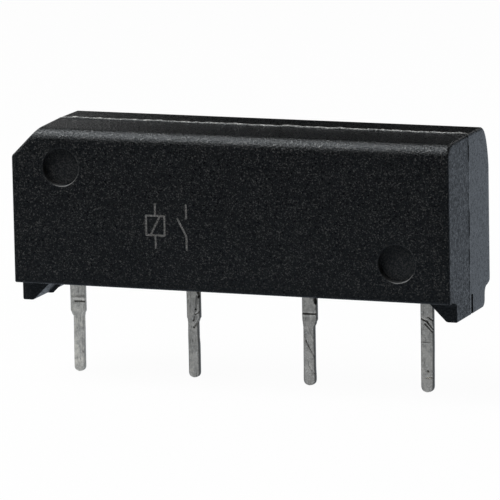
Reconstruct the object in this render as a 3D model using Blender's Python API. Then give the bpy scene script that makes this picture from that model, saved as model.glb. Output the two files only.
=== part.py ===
"""Reed relay in a moulded single-in-line package.

The frame: +X runs along the row of leads from lead 1 to lead 4, +Y from the front face to the back face,
+Z away from the board. The origin is in the middle of the lead row, in the plane on which the feet stand.

A reed switch lies along X inside a bobbin and its winding. The outer leads carry the switch, the inner leads
carry the coil, and an epoxy moulding holds them all. Its two mould halves meet in the plane of the leads.
"""

import math
from collections import namedtuple

import bmesh
import bpy
import numpy as np
from mathutils import Matrix, Vector

MM = 0.001

# Outside of the moulding
BODY_LENGTH = 18.85 * MM
BODY_DEPTH = 5.24 * MM
FRONT_DEPTH = 2.54 * MM
BODY_HEIGHT = 6.50 * MM
STANDOFF = 0.90 * MM
FRONT_DRAFT = math.radians(1.5)
BACK_DRAFT = math.radians(0.3)
END_DRAFT = math.radians(0.5)
FRONT_TOP_RADIUS = 0.50 * MM
BACK_TOP_DEPTH = 0.85 * MM
BACK_TOP_DROP = 2.60 * MM
BACK_UNDER_DEPTH = 0.50 * MM
BACK_UNDER_RISE = 0.20 * MM
EDGE_RADIUS = 0.12 * MM
CORNER_RADIUS = 0.12 * MM
LEAD_1_CHAMFER = 1.20 * MM
FLASH_HEIGHT = 0.09 * MM
END_FLASH_HEIGHT = 0.03 * MM
FLASH_THICKNESS = 0.08 * MM

# Feet
FOOT_FLAT = 0.40 * MM
FOOT_SLOPE = math.radians(45)
FOOT_SETBACK = 0.80 * MM
FOOT_FILLET = 0.45 * MM
FOOT_CORNER_RADIUS = 0.05 * MM

# Round marks left by the ejector pins on the front face
EJECTOR_RADIUS = 0.79 * MM
EJECTOR_DEPTH = 0.20 * MM
EJECTOR_FROM_END = 2.22 * MM
EJECTOR_FROM_TOP = 1.64 * MM
EJECTOR_FROM_UNDERSIDE = 1.51 * MM

# Leads
LEAD_PITCH = 5.08 * MM
LEAD_WIDTH = 0.47 * MM
LEAD_THICKNESS = 0.25 * MM
LEAD_BELOW_FEET = 3.27 * MM
SHOULDER_TAPER = 0.15 * MM
TAB_WIDTH = 0.64 * MM
TAB_ABOVE_AXIS = 0.35 * MM
JOGGLE_HEIGHT = 0.95 * MM
JOGGLE_ABOVE_UNDERSIDE = 0.45 * MM
ARM_ABOVE_UNDERSIDE = 0.45 * MM
ARM_WIDTH = 0.42 * MM
POST_WIDTH = 0.40 * MM
POST_ABOVE_WIRE = 0.27 * MM
POST_FROM_FLANGE = 0.45 * MM
ARM_CORNER_RADIUS = 0.10 * MM

# What the tie bar left on each lead when it was cut away: left stub, right stub, length below the feet
TIE_BAR_STUBS = (
    (0.13 * MM, 0.06 * MM, 0.70 * MM),
    (0.04 * MM, 0.08 * MM, 0.72 * MM),
    (0.06 * MM, 0.12 * MM, 0.60 * MM),
    (0.04 * MM, 0.04 * MM, 2.10 * MM),
)

# Reed switch
AXIS_ABOVE_UNDERSIDE = 3.45 * MM
GLASS_LENGTH = 12.40 * MM
GLASS_RADIUS = 1.00 * MM
GLASS_WALL = 0.30 * MM
SEAL_LENGTH = 0.90 * MM
SEAL_CLEARANCE = 0.015 * MM
REED_PAST_TAB = 0.31 * MM
REED_WIRE_RADIUS = 0.25 * MM
BLADE_WIDTH = 1.10 * MM
BLADE_THICKNESS = 0.20 * MM
BLADE_OVERLAP = 1.00 * MM
BLADE_TAPER_LENGTH = 0.60 * MM
CONTACT_GAP = 0.06 * MM

# Bobbin and winding
BOBBIN_LENGTH = 10.60 * MM
BOBBIN_WALL = 0.26 * MM
FLANGE_RADIUS = 2.10 * MM
FLANGE_THICKNESS = 0.40 * MM
FLANGE_SLOT_WIDTH = 0.32 * MM
WINDING_DEPTH = 0.62 * MM
WIRE_END_RADIUS = 0.05 * MM
WIRE_END_DEPTH = 0.12 * MM
WRAP_TURNS = 2.5
WRAP_PITCH = 0.12 * MM
WRAP_STANDOFF = 0.10 * MM

# Gap between a piece and what is moulded or wound round it
CLEARANCE = 0.02 * MM

ROUND_SIDES = 36
WIRE_SIDES = 20
ARC_STEPS = 4
EDGE_STEPS = 7

# How far a cutter passes the face that it cuts, and a lead's slot the plane of the feet
UNDERCUT = 0.30 * MM

# Heights and places worked out from the sizes above
HALF_LENGTH = BODY_LENGTH / 2
BACK_DEPTH = BODY_DEPTH - FRONT_DEPTH
FOOT_HALF_DEPTH = FRONT_DEPTH - FOOT_SETBACK
UNDERSIDE = STANDOFF
TOP = STANDOFF + BODY_HEIGHT
AXIS = UNDERSIDE + AXIS_ABOVE_UNDERSIDE
LEAD_X = tuple((i - 1.5) * LEAD_PITCH for i in range(4))
GLASS_HALF = GLASS_LENGTH / 2
PIVOT_X = GLASS_HALF - SEAL_LENGTH
BOBBIN_HALF = BOBBIN_LENGTH / 2
BOBBIN_BORE = GLASS_RADIUS + CLEARANCE
CORE_RADIUS = BOBBIN_BORE + BOBBIN_WALL
WINDING_BORE = CORE_RADIUS + CLEARANCE
WINDING_RADIUS = WINDING_BORE + WINDING_DEPTH
WINDING_HALF = BOBBIN_HALF - FLANGE_THICKNESS - CLEARANCE
REED_TIP_X = BLADE_OVERLAP / 2
REED_END_X = LEAD_X[3] + TAB_WIDTH / 2 + REED_PAST_TAB
POST_X = BOBBIN_HALF + POST_FROM_FLANGE + POST_WIDTH / 2
ARM_BOTTOM = UNDERSIDE + ARM_ABOVE_UNDERSIDE
ARM_TOP = ARM_BOTTOM + ARM_WIDTH
WIRE_END_Z = AXIS - WINDING_RADIUS + WIRE_END_DEPTH
POST_TOP = WIRE_END_Z + POST_ABOVE_WIRE
JOGGLE_Y = LEAD_THICKNESS / 2 + REED_WIRE_RADIUS + CLEARANCE
WRAP_HALF_X = POST_WIDTH / 2 + WRAP_STANDOFF
WRAP_HALF_Y = LEAD_THICKNESS / 2 + WRAP_STANDOFF

# A quarter ellipse that rounds an edge: how far it reaches in from the face, and how far down or up it goes
Rounding = namedtuple("Rounding", "depth drop")
SHARP = Rounding(EDGE_RADIUS, EDGE_RADIUS)
FRONT_TOP = Rounding(FRONT_TOP_RADIUS, FRONT_TOP_RADIUS)
BACK_TOP = Rounding(BACK_TOP_DEPTH, BACK_TOP_DROP)
BACK_UNDER = Rounding(BACK_UNDER_DEPTH, BACK_UNDER_RISE)

# A half of the moulding: its side of the parting plane, its depth from that plane, the draft of its top and
# underside, and the roundings of its top edge, of the edge along the chamfer and of its lower edge
MouldHalf = namedtuple("MouldHalf", "side depth draft top chamfer under")
FRONT = MouldHalf(-1, FRONT_DEPTH, FRONT_DRAFT, FRONT_TOP, SHARP, SHARP)
BACK = MouldHalf(1, BACK_DEPTH, BACK_DRAFT, BACK_TOP, BACK_TOP, BACK_UNDER)


def material(name, color, roughness, metallic=0.0, alpha=1.0):
    """A Principled BSDF with one colour, roughness and metallic value."""
    mat = bpy.data.materials.new(name)
    mat.use_nodes = True
    shader = mat.node_tree.nodes["Principled BSDF"]
    shader.inputs["Base Color"].default_value = (*color, 1.0)
    shader.inputs["Roughness"].default_value = roughness
    shader.inputs["Metallic"].default_value = metallic
    shader.inputs["Alpha"].default_value = alpha
    mat.diffuse_color = (*color, alpha)
    return mat


def add_object(name, mesh, mat=None):
    """A new object in the scene that carries the mesh, shaded smooth but for its sharp edges."""
    obj = bpy.data.objects.new(name, mesh)
    bpy.context.scene.collection.objects.link(obj)
    if mat is not None:
        mesh.materials.append(mat)
    mesh.shade_smooth()
    mesh.set_sharp_from_angle(angle=math.radians(30))
    return obj


def mesh_from(name, verts, faces):
    """A mesh whose doubled points are merged and whose faces all point outwards."""
    bm = bmesh.new()
    points = [bm.verts.new(v) for v in verts]
    for face in faces:
        bm.faces.new([points[i] for i in face])
    bmesh.ops.remove_doubles(bm, verts=bm.verts, dist=1e-8)
    bmesh.ops.dissolve_degenerate(bm, edges=bm.edges, dist=1e-8)
    bmesh.ops.recalc_face_normals(bm, faces=bm.faces)
    mesh = bpy.data.meshes.new(name)
    bm.to_mesh(mesh)
    bm.free()
    return mesh


def loft(name, rings, closed=False):
    """Rings of as many points each, joined in order. The first and last are capped, or joined if closed."""
    count = len(rings[0])
    verts = [p for ring in rings for p in ring]
    faces = []
    spans = len(rings) if closed else len(rings) - 1
    for r in range(spans):
        a, b = r * count, (r + 1) % len(rings) * count
        for i in range(count):
            j = (i + 1) % count
            faces.append((a + i, a + j, b + j, b + i))
    if not closed:
        faces.append(tuple(range(count)))
        last = (len(rings) - 1) * count
        faces.append(tuple(last + i for i in reversed(range(count))))
    return mesh_from(name, verts, faces)


def turned(name, profile, sides=ROUND_SIDES):
    """A closed outline of (x, radius) points, turned about the switch's axis."""
    rings = []
    for k in range(sides):
        angle = 2 * math.pi * k / sides
        rings.append([(x, r * math.sin(angle), AXIS - r * math.cos(angle)) for x, r in profile])
    return loft(name, rings, closed=True)


def turned_solid(name, profile, sides=ROUND_SIDES):
    """Open (x, radius) points from end to end of a solid round bar, with flat ends."""
    rings = []
    for x, r in profile:
        angles = [2 * math.pi * k / sides for k in range(sides)]
        rings.append([(x, r * math.sin(a), AXIS - r * math.cos(a)) for a in angles])
    return loft(name, rings)


def prism_y(name, outline, y0, y1):
    """An (x, z) outline carried from y0 to y1."""
    return loft(name, [[(x, y, z) for x, z in outline] for y in (y0, y1)])


def box(name, low, high):
    """A block between two corners."""
    (x0, y0, z0), (x1, y1, z1) = low, high
    return prism_y(name, [(x0, z0), (x1, z0), (x1, z1), (x0, z1)], y0, y1)


def rounded(points, radii, steps=ARC_STEPS):
    """A closed outline whose corners are replaced by arcs, each of its own radius."""
    outline = []
    for i, corner in enumerate(points):
        radius = radii[i]
        here = np.array(corner)
        back = np.array(points[i - 1]) - here
        ahead = np.array(points[(i + 1) % len(points)]) - here
        length_back, length_ahead = np.linalg.norm(back), np.linalg.norm(ahead)
        if radius <= 0 or min(length_back, length_ahead) < 1e-9:
            outline.extend([tuple(here)] * (steps + 1))
            continue
        back, ahead = back / length_back, ahead / length_ahead
        half = math.acos(max(-1.0, min(1.0, float(back @ ahead)))) / 2
        reach = min(radius / math.tan(half), 0.49 * length_back, 0.49 * length_ahead)
        radius = reach * math.tan(half)
        centre = here + (back + ahead) / np.linalg.norm(back + ahead) * radius / math.sin(half)
        start = here + back * reach - centre
        finish = here + ahead * reach - centre
        sweep = math.pi - 2 * half
        turn = math.copysign(sweep, start[0] * finish[1] - start[1] * finish[0])
        for k in range(steps + 1):
            c, s = math.cos(turn * k / steps), math.sin(turn * k / steps)
            x, z = c * start[0] - s * start[1], s * start[0] + c * start[1]
            outline.append((centre[0] + x, centre[1] + z))
    return outline


def apply_boolean(target, cutters, operation="DIFFERENCE"):
    """Cuts the target by each mesh in turn, or joins each to it, and keeps the result as its mesh."""
    for mesh in cutters:
        tool = bpy.data.objects.new("tool", mesh)
        bpy.context.scene.collection.objects.link(tool)
        modifier = target.modifiers.new("cut", "BOOLEAN")
        modifier.operation = operation
        modifier.solver = "EXACT"
        modifier.object = tool
        graph = bpy.context.evaluated_depsgraph_get()
        result = bpy.data.meshes.new_from_object(target.evaluated_get(graph))
        target.modifiers.clear()
        target.data = result
        bpy.data.objects.remove(tool)


def set_origin(obj, point):
    """Puts the object's origin at a point, and leaves its mesh where it is."""
    obj.data.transform(Matrix.Translation(-Vector(point)))
    obj.location = point


def edge_inset(inside, rounding):
    """How far a rounded edge has drawn in at this distance inside the face."""
    into = rounding.depth - inside
    if into <= 0:
        return 0.0
    return rounding.drop * (1 - math.sqrt(max(0.0, 1 - (into / rounding.depth) ** 2)))


def body_outline(half, distance, foot_z, flash=0.0, end_flash=0.0):
    """The outline of one half of the moulding in the plane at this distance from the parting plane."""
    inside = half.depth - distance
    face = distance * math.tan(half.draft)
    top = TOP - face - edge_inset(inside, half.top) + flash
    underside = UNDERSIDE + face + edge_inset(inside, half.under)
    sides = distance * math.tan(END_DRAFT) + edge_inset(inside, SHARP) - end_flash
    left, right = -HALF_LENGTH + sides, HALF_LENGTH - sides
    # the chamfer is a line x - z = constant, moved square to itself by the draft, its rounding and the flash
    chamfer_inset = face + edge_inset(inside, half.chamfer) - flash
    chamfer = TOP + HALF_LENGTH - LEAD_1_CHAMFER - chamfer_inset * math.sqrt(2)
    foot_z = min(foot_z, underside)
    # on the inner slope of a foot the flash stands square to the slope
    flat = FOOT_FLAT + flash / math.sin(FOOT_SLOPE)
    inner = flat + (underside - foot_z) / math.tan(FOOT_SLOPE)
    points = [
        (left, foot_z),
        (-HALF_LENGTH + flat, foot_z),
        (-HALF_LENGTH + inner, underside),
        (HALF_LENGTH - inner, underside),
        (HALF_LENGTH - flat, foot_z),
        (right, foot_z),
        (right, top),
        (top - chamfer, top),
        (left, chamfer + left),
    ]
    foot = min(FOOT_CORNER_RADIUS, (underside - foot_z) / 2)
    radii = [FOOT_CORNER_RADIUS, foot, foot, foot, foot, FOOT_CORNER_RADIUS] + [CORNER_RADIUS] * 3
    return rounded(points, radii)


def half_stations(half):
    """Distances from the parting plane at which an outline is taken, with the height of the feet there."""
    stations = [(FLASH_THICKNESS / 2, 0.0), (FOOT_HALF_DEPTH, 0.0)]
    for k in range(ARC_STEPS + 1):
        angle = math.pi / 2 * k / ARC_STEPS
        y = FOOT_HALF_DEPTH + FOOT_FILLET * (1 - math.cos(angle))
        stations.append((y, UNDERSIDE - FOOT_FILLET * (1 - math.sin(angle))))
    distances = {half.depth}
    for depth in (half.top.depth, half.under.depth, SHARP.depth):
        for k in range(EDGE_STEPS):
            distances.add(half.depth - depth * (1 - math.sin(math.pi / 2 * k / EDGE_STEPS)))
    past_foot = FOOT_HALF_DEPTH + FOOT_FILLET
    stations += [(y, TOP) for y in sorted(distances) if y > past_foot + 0.01 * MM]
    return stations


def body_mesh():
    """The moulding as one loft of outlines from the back face to the front face, with its flash between."""
    rings = []
    for half in (BACK, FRONT):
        fin = FLASH_THICKNESS / 2
        outlines = [(fin, body_outline(half, fin, 0.0, FLASH_HEIGHT, END_FLASH_HEIGHT))]
        outlines += [(y, body_outline(half, y, foot_z)) for y, foot_z in half_stations(half)]
        placed = [[(x, half.side * y, z) for x, z in outline] for y, outline in outlines]
        rings += placed[::-1] if half is BACK else placed
    return loft("moulded_body", rings)


def switch_cavity():
    """The space that the switch, bobbin and winding take up in the moulding."""
    wire, glass = REED_WIRE_RADIUS + CLEARANCE, GLASS_RADIUS + CLEARANCE
    flange, winding = FLANGE_RADIUS + CLEARANCE, WINDING_RADIUS + CLEARANCE
    flange_inner = BOBBIN_HALF - FLANGE_THICKNESS - CLEARANCE
    half = [
        (REED_END_X + CLEARANCE, wire),
        (GLASS_HALF + CLEARANCE, wire),
        (GLASS_HALF + CLEARANCE, glass),
        (BOBBIN_HALF + CLEARANCE, glass),
        (BOBBIN_HALF + CLEARANCE, flange),
        (flange_inner, flange),
        (flange_inner, winding),
    ]
    profile = [(-x, r) for x, r in half] + half[::-1]
    return turned_solid("cavity", profile)


def ejector_cutter(x, z):
    """A round cutter that sinks one ejector mark into the front face."""
    rings = []
    for y in (-FRONT_DEPTH - UNDERCUT, -FRONT_DEPTH + EJECTOR_DEPTH):
        angles = [2 * math.pi * k / ROUND_SIDES for k in range(ROUND_SIDES)]
        circle = [(EJECTOR_RADIUS * math.cos(a), EJECTOR_RADIUS * math.sin(a)) for a in angles]
        rings.append([(x + across, y, z + up) for across, up in circle])
    return loft("ejector", rings)


def pin_profile(lead):
    """The (z, left, right) edges of a lead from the underside of the moulding down to its round tip."""
    stub_left, stub_right, shoulder = TIE_BAR_STUBS[lead]
    half = LEAD_WIDTH / 2
    tip = -LEAD_BELOW_FEET
    profile = [(UNDERSIDE, -half - stub_left, half + stub_right)]
    profile.append((-shoulder, -half - stub_left, half + stub_right))
    profile.append((-shoulder - SHOULDER_TAPER, -half, half))
    steps = 2 * ARC_STEPS
    for k in range(steps):
        angle = math.pi / 2 * k / steps
        reach = half * math.cos(angle)
        profile.append((tip + half * (1 - math.sin(angle)), -reach, reach))
    return profile


def ribbon(name, stations, thickness):
    """A flat strip along (y, z) points, each with its left and right edges in X, of one thickness."""
    rings = []
    for i, (y, z, left, right) in enumerate(stations):
        before, after = stations[max(i - 1, 0)], stations[min(i + 1, len(stations) - 1)]
        along = Vector((after[0] - before[0], after[1] - before[1])).normalized()
        across = Vector((along.y, -along.x)) * thickness / 2
        rings.append([
            (left, y - across.x, z - across.y),
            (right, y - across.x, z - across.y),
            (right, y + across.x, z + across.y),
            (left, y + across.x, z + across.y),
        ])
    return loft(name, rings)


def switch_lead_stations(lead, grow=0.0, for_slot=False):
    """Stations down an outer lead: the tab beside the reed, the joggle back to the lead row and the pin."""
    x = LEAD_X[lead]
    tab = TAB_WIDTH / 2
    top = AXIS + TAB_ABOVE_AXIS + grow
    joggle_low = UNDERSIDE + JOGGLE_ABOVE_UNDERSIDE
    left, right = x - tab - grow, x + tab + grow
    stations = [(JOGGLE_Y, top, left, right)]
    steps = 3 * ARC_STEPS
    for k in range(steps + 1):
        share = 1 - k / steps
        swing = 0.5 - 0.5 * math.cos(math.pi * share)
        stations.append((JOGGLE_Y * swing, joggle_low + JOGGLE_HEIGHT * share, left, right))
    profile = pin_profile(lead)
    if for_slot:
        _, left, right = profile[0]
        stations.append((0.0, UNDERSIDE + grow, x + left - grow, x + right + grow))
        stations.append((0.0, -UNDERCUT, x + left - grow, x + right + grow))
        return stations
    return stations + [(0.0, z, x + left, x + right) for z, left, right in profile]


def coil_lead_outline(lead):
    """The flat outline of an inner lead: its pin, its arm along the bobbin and its post for the wire."""
    x = LEAD_X[lead]
    outward = math.copysign(1, x)
    profile = pin_profile(lead)
    edges = {-1: [(x + left, z) for z, left, _ in profile], 1: [(x + right, z) for z, _, right in profile]}
    inside, outside = edges[-outward], edges[outward]
    arm = [
        (outside[0][0], ARM_BOTTOM),
        (outward * (POST_X + POST_WIDTH / 2), ARM_BOTTOM),
        (outward * (POST_X + POST_WIDTH / 2), POST_TOP),
        (outward * (POST_X - POST_WIDTH / 2), POST_TOP),
        (outward * (POST_X - POST_WIDTH / 2), ARM_TOP),
        (inside[0][0], ARM_TOP),
    ]
    corners = rounded(arm, [0, ARM_CORNER_RADIUS, 0, 0, ARM_CORNER_RADIUS, ARM_CORNER_RADIUS], 3)
    return inside + outside[::-1] + corners


def coil_lead_slots(lead):
    """The space that an inner lead and its wire take up in the moulding, as blocks."""
    x = LEAD_X[lead]
    outward = math.copysign(1, x)
    _, left, right = pin_profile(lead)[0]
    half = LEAD_THICKNESS / 2 + CLEARANCE
    post_in, post_out = POST_X - POST_WIDTH / 2 - CLEARANCE, POST_X + POST_WIDTH / 2 + CLEARANCE
    pin_low, pin_high = x + left - CLEARANCE, x + right + CLEARANCE
    arm_start = pin_low if outward > 0 else -pin_high
    wrap = WIRE_END_RADIUS + CLEARANCE
    wrap_x, wrap_y = WRAP_HALF_X + wrap, WRAP_HALF_Y + wrap
    wrap_bottom = WIRE_END_Z - WRAP_TURNS * WRAP_PITCH - wrap
    wire_top = WIRE_END_Z + wrap
    in_flange = BOBBIN_HALF - FLANGE_THICKNESS / 2
    spans = [
        (arm_start, post_out, -half, half, ARM_BOTTOM - CLEARANCE, ARM_TOP + CLEARANCE),
        (post_in, post_out, -half, half, ARM_BOTTOM, POST_TOP + CLEARANCE),
        (POST_X - wrap_x, POST_X + wrap_x, -wrap_y, wrap_y, wrap_bottom, wire_top),
        (in_flange, POST_X, -wrap_y, wrap, WIRE_END_Z - wrap, wire_top),
    ]
    mouth = -UNDERCUT
    slots = [box("slot", (pin_low, -half, mouth), (pin_high, half, ARM_BOTTOM + ARM_WIDTH / 2))]
    for x0, x1, y0, y1, z0, z1 in spans:
        low, high = sorted((outward * x0, outward * x1))
        slots.append(box("slot", (low, y0, z0), (high, y1, z1)))
    return slots


def make_body(mat):
    """The moulding, with its ejector marks, and hollowed for what it was moulded round."""
    body = add_object("moulded_body", body_mesh(), mat)
    marks = [
        ejector_cutter(-HALF_LENGTH + EJECTOR_FROM_END, TOP - EJECTOR_FROM_TOP),
        ejector_cutter(HALF_LENGTH - EJECTOR_FROM_END, UNDERSIDE + EJECTOR_FROM_UNDERSIDE),
    ]
    slot_thickness = LEAD_THICKNESS + 2 * CLEARANCE
    slots = [ribbon("slot", switch_lead_stations(lead, CLEARANCE, True), slot_thickness) for lead in (0, 3)]
    slots += coil_lead_slots(1) + coil_lead_slots(2)
    apply_boolean(body, marks + [switch_cavity()] + slots)
    body.data.shade_smooth()
    body.data.set_sharp_from_angle(angle=math.radians(30))


def make_leads(mat):
    """Four stamped leads: the outer two are joggled to lie beside the reeds, the inner two stay flat."""
    for lead in (0, 3):
        mesh = ribbon(f"lead_{lead + 1}", switch_lead_stations(lead), LEAD_THICKNESS)
        add_object(f"lead_{lead + 1}", mesh, mat)
    half = LEAD_THICKNESS / 2
    for lead in (1, 2):
        mesh = prism_y(f"lead_{lead + 1}", coil_lead_outline(lead), -half, half)
        add_object(f"lead_{lead + 1}", mesh, mat)


def make_glass(mat):
    """The switch's glass tube, drawn in and fused round a reed at each end."""
    bore = REED_WIRE_RADIUS + SEAL_CLEARANCE
    inner = GLASS_RADIUS - GLASS_WALL
    shoulder = 0.6 * GLASS_RADIUS
    outside, inside = [], []
    for k in range(ARC_STEPS + 1):
        angle = math.pi / 2 * k / ARC_STEPS
        rise, fall = math.sin(angle), 1 - math.cos(angle)
        drawn, hollow = GLASS_RADIUS - shoulder, inner - bore
        outside.append((GLASS_HALF - drawn * fall, shoulder + drawn * rise))
        inside.append((PIVOT_X - hollow * fall, bore + hollow * rise))
    half = [(GLASS_HALF, bore)] + outside
    profile = half + [(-x, r) for x, r in half[::-1]]
    profile += [(-x, r) for x, r in inside] + inside[::-1]
    add_object("glass_envelope", turned("glass_envelope", profile), mat)


def reed_section(x):
    """The half width, half height, rise above the axis and squareness of the left reed at x."""
    flat = min(1.0, max(0.0, (x + PIVOT_X - REED_WIRE_RADIUS) / BLADE_TAPER_LENGTH))
    share = flat * flat * (3 - 2 * flat)
    width = REED_WIRE_RADIUS + (BLADE_WIDTH / 2 - REED_WIRE_RADIUS) * share
    height = REED_WIRE_RADIUS + (BLADE_THICKNESS / 2 - REED_WIRE_RADIUS) * share
    rise = (CONTACT_GAP / 2 + BLADE_THICKNESS / 2) * share
    return width, height, rise, 2 + 6 * share


def make_reeds(mat):
    """Two reeds that overlap inside the glass with a gap. The right one is the left one, turned round."""
    blade_start = -PIVOT_X + REED_WIRE_RADIUS
    stations = [-REED_END_X, -GLASS_HALF, -PIVOT_X]
    stations += [blade_start + BLADE_TAPER_LENGTH * k / 6 for k in range(7)]
    stations += [-2 * BLADE_OVERLAP, -REED_TIP_X, REED_TIP_X - BLADE_THICKNESS / 2, REED_TIP_X]
    for name, side in (("reed_left", 1), ("reed_right", -1)):
        rings = []
        for x in stations:
            width, height, rise, power = reed_section(x)
            if x == REED_TIP_X:
                width -= BLADE_THICKNESS / 2
            ring = []
            for k in range(WIRE_SIDES):
                angle = 2 * math.pi * (k + 0.5) / WIRE_SIDES
                c, s = math.cos(angle), math.sin(angle)
                y = math.copysign(width * abs(c) ** (2 / power), c)
                z = rise + math.copysign(height * abs(s) ** (2 / power), s)
                ring.append((side * x, y, AXIS + side * z))
            rings.append(ring)
        reed = add_object(name, loft(name, rings), mat)
        set_origin(reed, (-side * PIVOT_X, 0.0, AXIS))


def make_bobbin(mat):
    """The coil former: a thin tube with a flange at each end, each flange slotted for a wire."""
    flange_in = BOBBIN_HALF - FLANGE_THICKNESS
    flange = [(BOBBIN_HALF, BOBBIN_BORE), (BOBBIN_HALF, FLANGE_RADIUS), (flange_in, FLANGE_RADIUS)]
    half = flange + [(flange_in, CORE_RADIUS)]
    profile = half + [(-x, r) for x, r in half[::-1]]
    bobbin = add_object("bobbin", turned("bobbin", profile), mat)
    slot = FLANGE_SLOT_WIDTH / 2
    slots = []
    for side in (-1, 1):
        low, high = sorted((side * (flange_in - slot), side * (BOBBIN_HALF + slot)))
        top = WIRE_END_Z + slot
        slots.append(box("slot", (low, -slot, AXIS - FLANGE_RADIUS - slot), (high, slot, top)))
    apply_boolean(bobbin, slots)
    bobbin.data.set_sharp_from_angle(angle=math.radians(30))


def make_winding(mat):
    """The winding as one ring with rounded shoulders."""
    turn = 3 * WIRE_END_RADIUS
    half = [
        (WINDING_HALF, WINDING_BORE),
        (WINDING_HALF, WINDING_RADIUS - turn / 2),
        (WINDING_HALF - turn / 2, WINDING_RADIUS),
    ]
    profile = half + [(-x, r) for x, r in half[::-1]]
    add_object("coil_winding", turned("coil_winding", profile), mat)


def wire_route(side):
    """From the end of the winding through the flange's slot to the post, then round the post and down it."""
    start = WINDING_HALF + CLEARANCE
    bend_start, bend_end = BOBBIN_HALF - FLANGE_THICKNESS / 2, POST_X - WRAP_HALF_X
    points = [(start, 0.0, WIRE_END_Z)]
    for k in range(9):
        share = k / 8
        sway = share * share * (3 - 2 * share)
        points.append((bend_start + (bend_end - bend_start) * share, -WRAP_HALF_Y * sway, WIRE_END_Z))
    per_turn = 20
    for k in range(int(WRAP_TURNS * per_turn) + 1):
        angle = 2 * math.pi * k / per_turn - math.pi / 2
        c, s = math.cos(angle), math.sin(angle)
        x = POST_X + math.copysign(WRAP_HALF_X * abs(c) ** 0.5, c)
        y = math.copysign(WRAP_HALF_Y * abs(s) ** 0.5, s)
        points.append((x, y, WIRE_END_Z - WRAP_PITCH * k / per_turn))
    return [(side * x, y, z) for x, y, z in points]


def make_wire_ends(mat):
    """The two ends of the winding, each on its own post."""
    for name, side in (("coil_start_wire", -1), ("coil_finish_wire", 1)):
        curve = bpy.data.curves.new(name, "CURVE")
        curve.dimensions = "3D"
        curve.bevel_depth = WIRE_END_RADIUS
        curve.bevel_resolution = 2
        curve.use_fill_caps = True
        route = wire_route(side)
        spline = curve.splines.new("POLY")
        spline.points.add(len(route) - 1)
        for point, place in zip(spline.points, route):
            point.co = (*place, 1.0)
        curve.materials.append(mat)
        wire = bpy.data.objects.new(name, curve)
        bpy.context.scene.collection.objects.link(wire)


def main():
    """Clears the scene and makes every piece of the relay."""
    for obj in list(bpy.data.objects):
        bpy.data.objects.remove(obj)
    make_body(material("black_epoxy", (0.012, 0.013, 0.014), 0.55))
    make_leads(material("tinned_lead", (0.42, 0.42, 0.41), 0.35, metallic=1.0))
    make_glass(material("switch_glass", (0.45, 0.62, 0.50), 0.05, alpha=0.4))
    make_reeds(material("nickel_iron", (0.50, 0.48, 0.45), 0.30, metallic=1.0))
    make_bobbin(material("bobbin_plastic", (0.55, 0.50, 0.40), 0.45))
    make_winding(material("enamelled_copper", (0.55, 0.20, 0.07), 0.35, metallic=1.0))
    make_wire_ends(material("lead_out_copper", (0.60, 0.27, 0.12), 0.35, metallic=1.0))


main()
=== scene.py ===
"""Looks of the reed relay: its moulded case, stamped leads, reed switch and coil, and a plain studio.

Lengths are in metres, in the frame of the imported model: +X along the row of leads, +Y to the back face, +Z
away from the board, and the origin in the middle of the lead row in the plane of the feet.
"""

import math

import bmesh
import bpy
import numpy as np
from bpy.props import FloatProperty, FloatVectorProperty, IntProperty, PointerProperty
from mathutils import Matrix, Vector


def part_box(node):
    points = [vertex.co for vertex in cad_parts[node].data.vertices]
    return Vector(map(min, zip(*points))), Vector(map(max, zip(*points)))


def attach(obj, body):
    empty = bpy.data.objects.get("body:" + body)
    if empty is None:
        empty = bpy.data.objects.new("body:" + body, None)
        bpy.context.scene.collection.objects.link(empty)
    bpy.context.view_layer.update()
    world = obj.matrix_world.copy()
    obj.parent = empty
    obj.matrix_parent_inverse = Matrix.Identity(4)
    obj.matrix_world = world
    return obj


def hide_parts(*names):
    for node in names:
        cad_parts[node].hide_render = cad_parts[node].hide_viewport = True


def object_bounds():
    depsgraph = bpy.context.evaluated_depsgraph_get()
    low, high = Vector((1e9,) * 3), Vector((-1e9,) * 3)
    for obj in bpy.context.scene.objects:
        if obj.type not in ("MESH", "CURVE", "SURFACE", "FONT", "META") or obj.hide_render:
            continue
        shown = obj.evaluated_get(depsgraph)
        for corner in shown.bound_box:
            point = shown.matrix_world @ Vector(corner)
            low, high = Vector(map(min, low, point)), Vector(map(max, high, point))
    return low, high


bl_info = {
    "name": "Reed relay looks",
    "version": (1, 0, 0),
    "blender": (4, 5, 0),
    "location": "3D View > Sidebar > Relay",
    "description": "Builds the case, leads, reed switch and coil of a reed relay, and a studio round them",
    "category": "Object",
}

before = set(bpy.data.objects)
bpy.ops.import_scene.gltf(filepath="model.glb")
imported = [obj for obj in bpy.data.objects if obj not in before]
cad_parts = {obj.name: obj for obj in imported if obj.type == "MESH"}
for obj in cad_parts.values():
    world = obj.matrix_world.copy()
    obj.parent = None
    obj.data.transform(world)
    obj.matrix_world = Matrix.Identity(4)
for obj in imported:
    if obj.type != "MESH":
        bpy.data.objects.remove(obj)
CAD_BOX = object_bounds()

MM = 0.001

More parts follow.
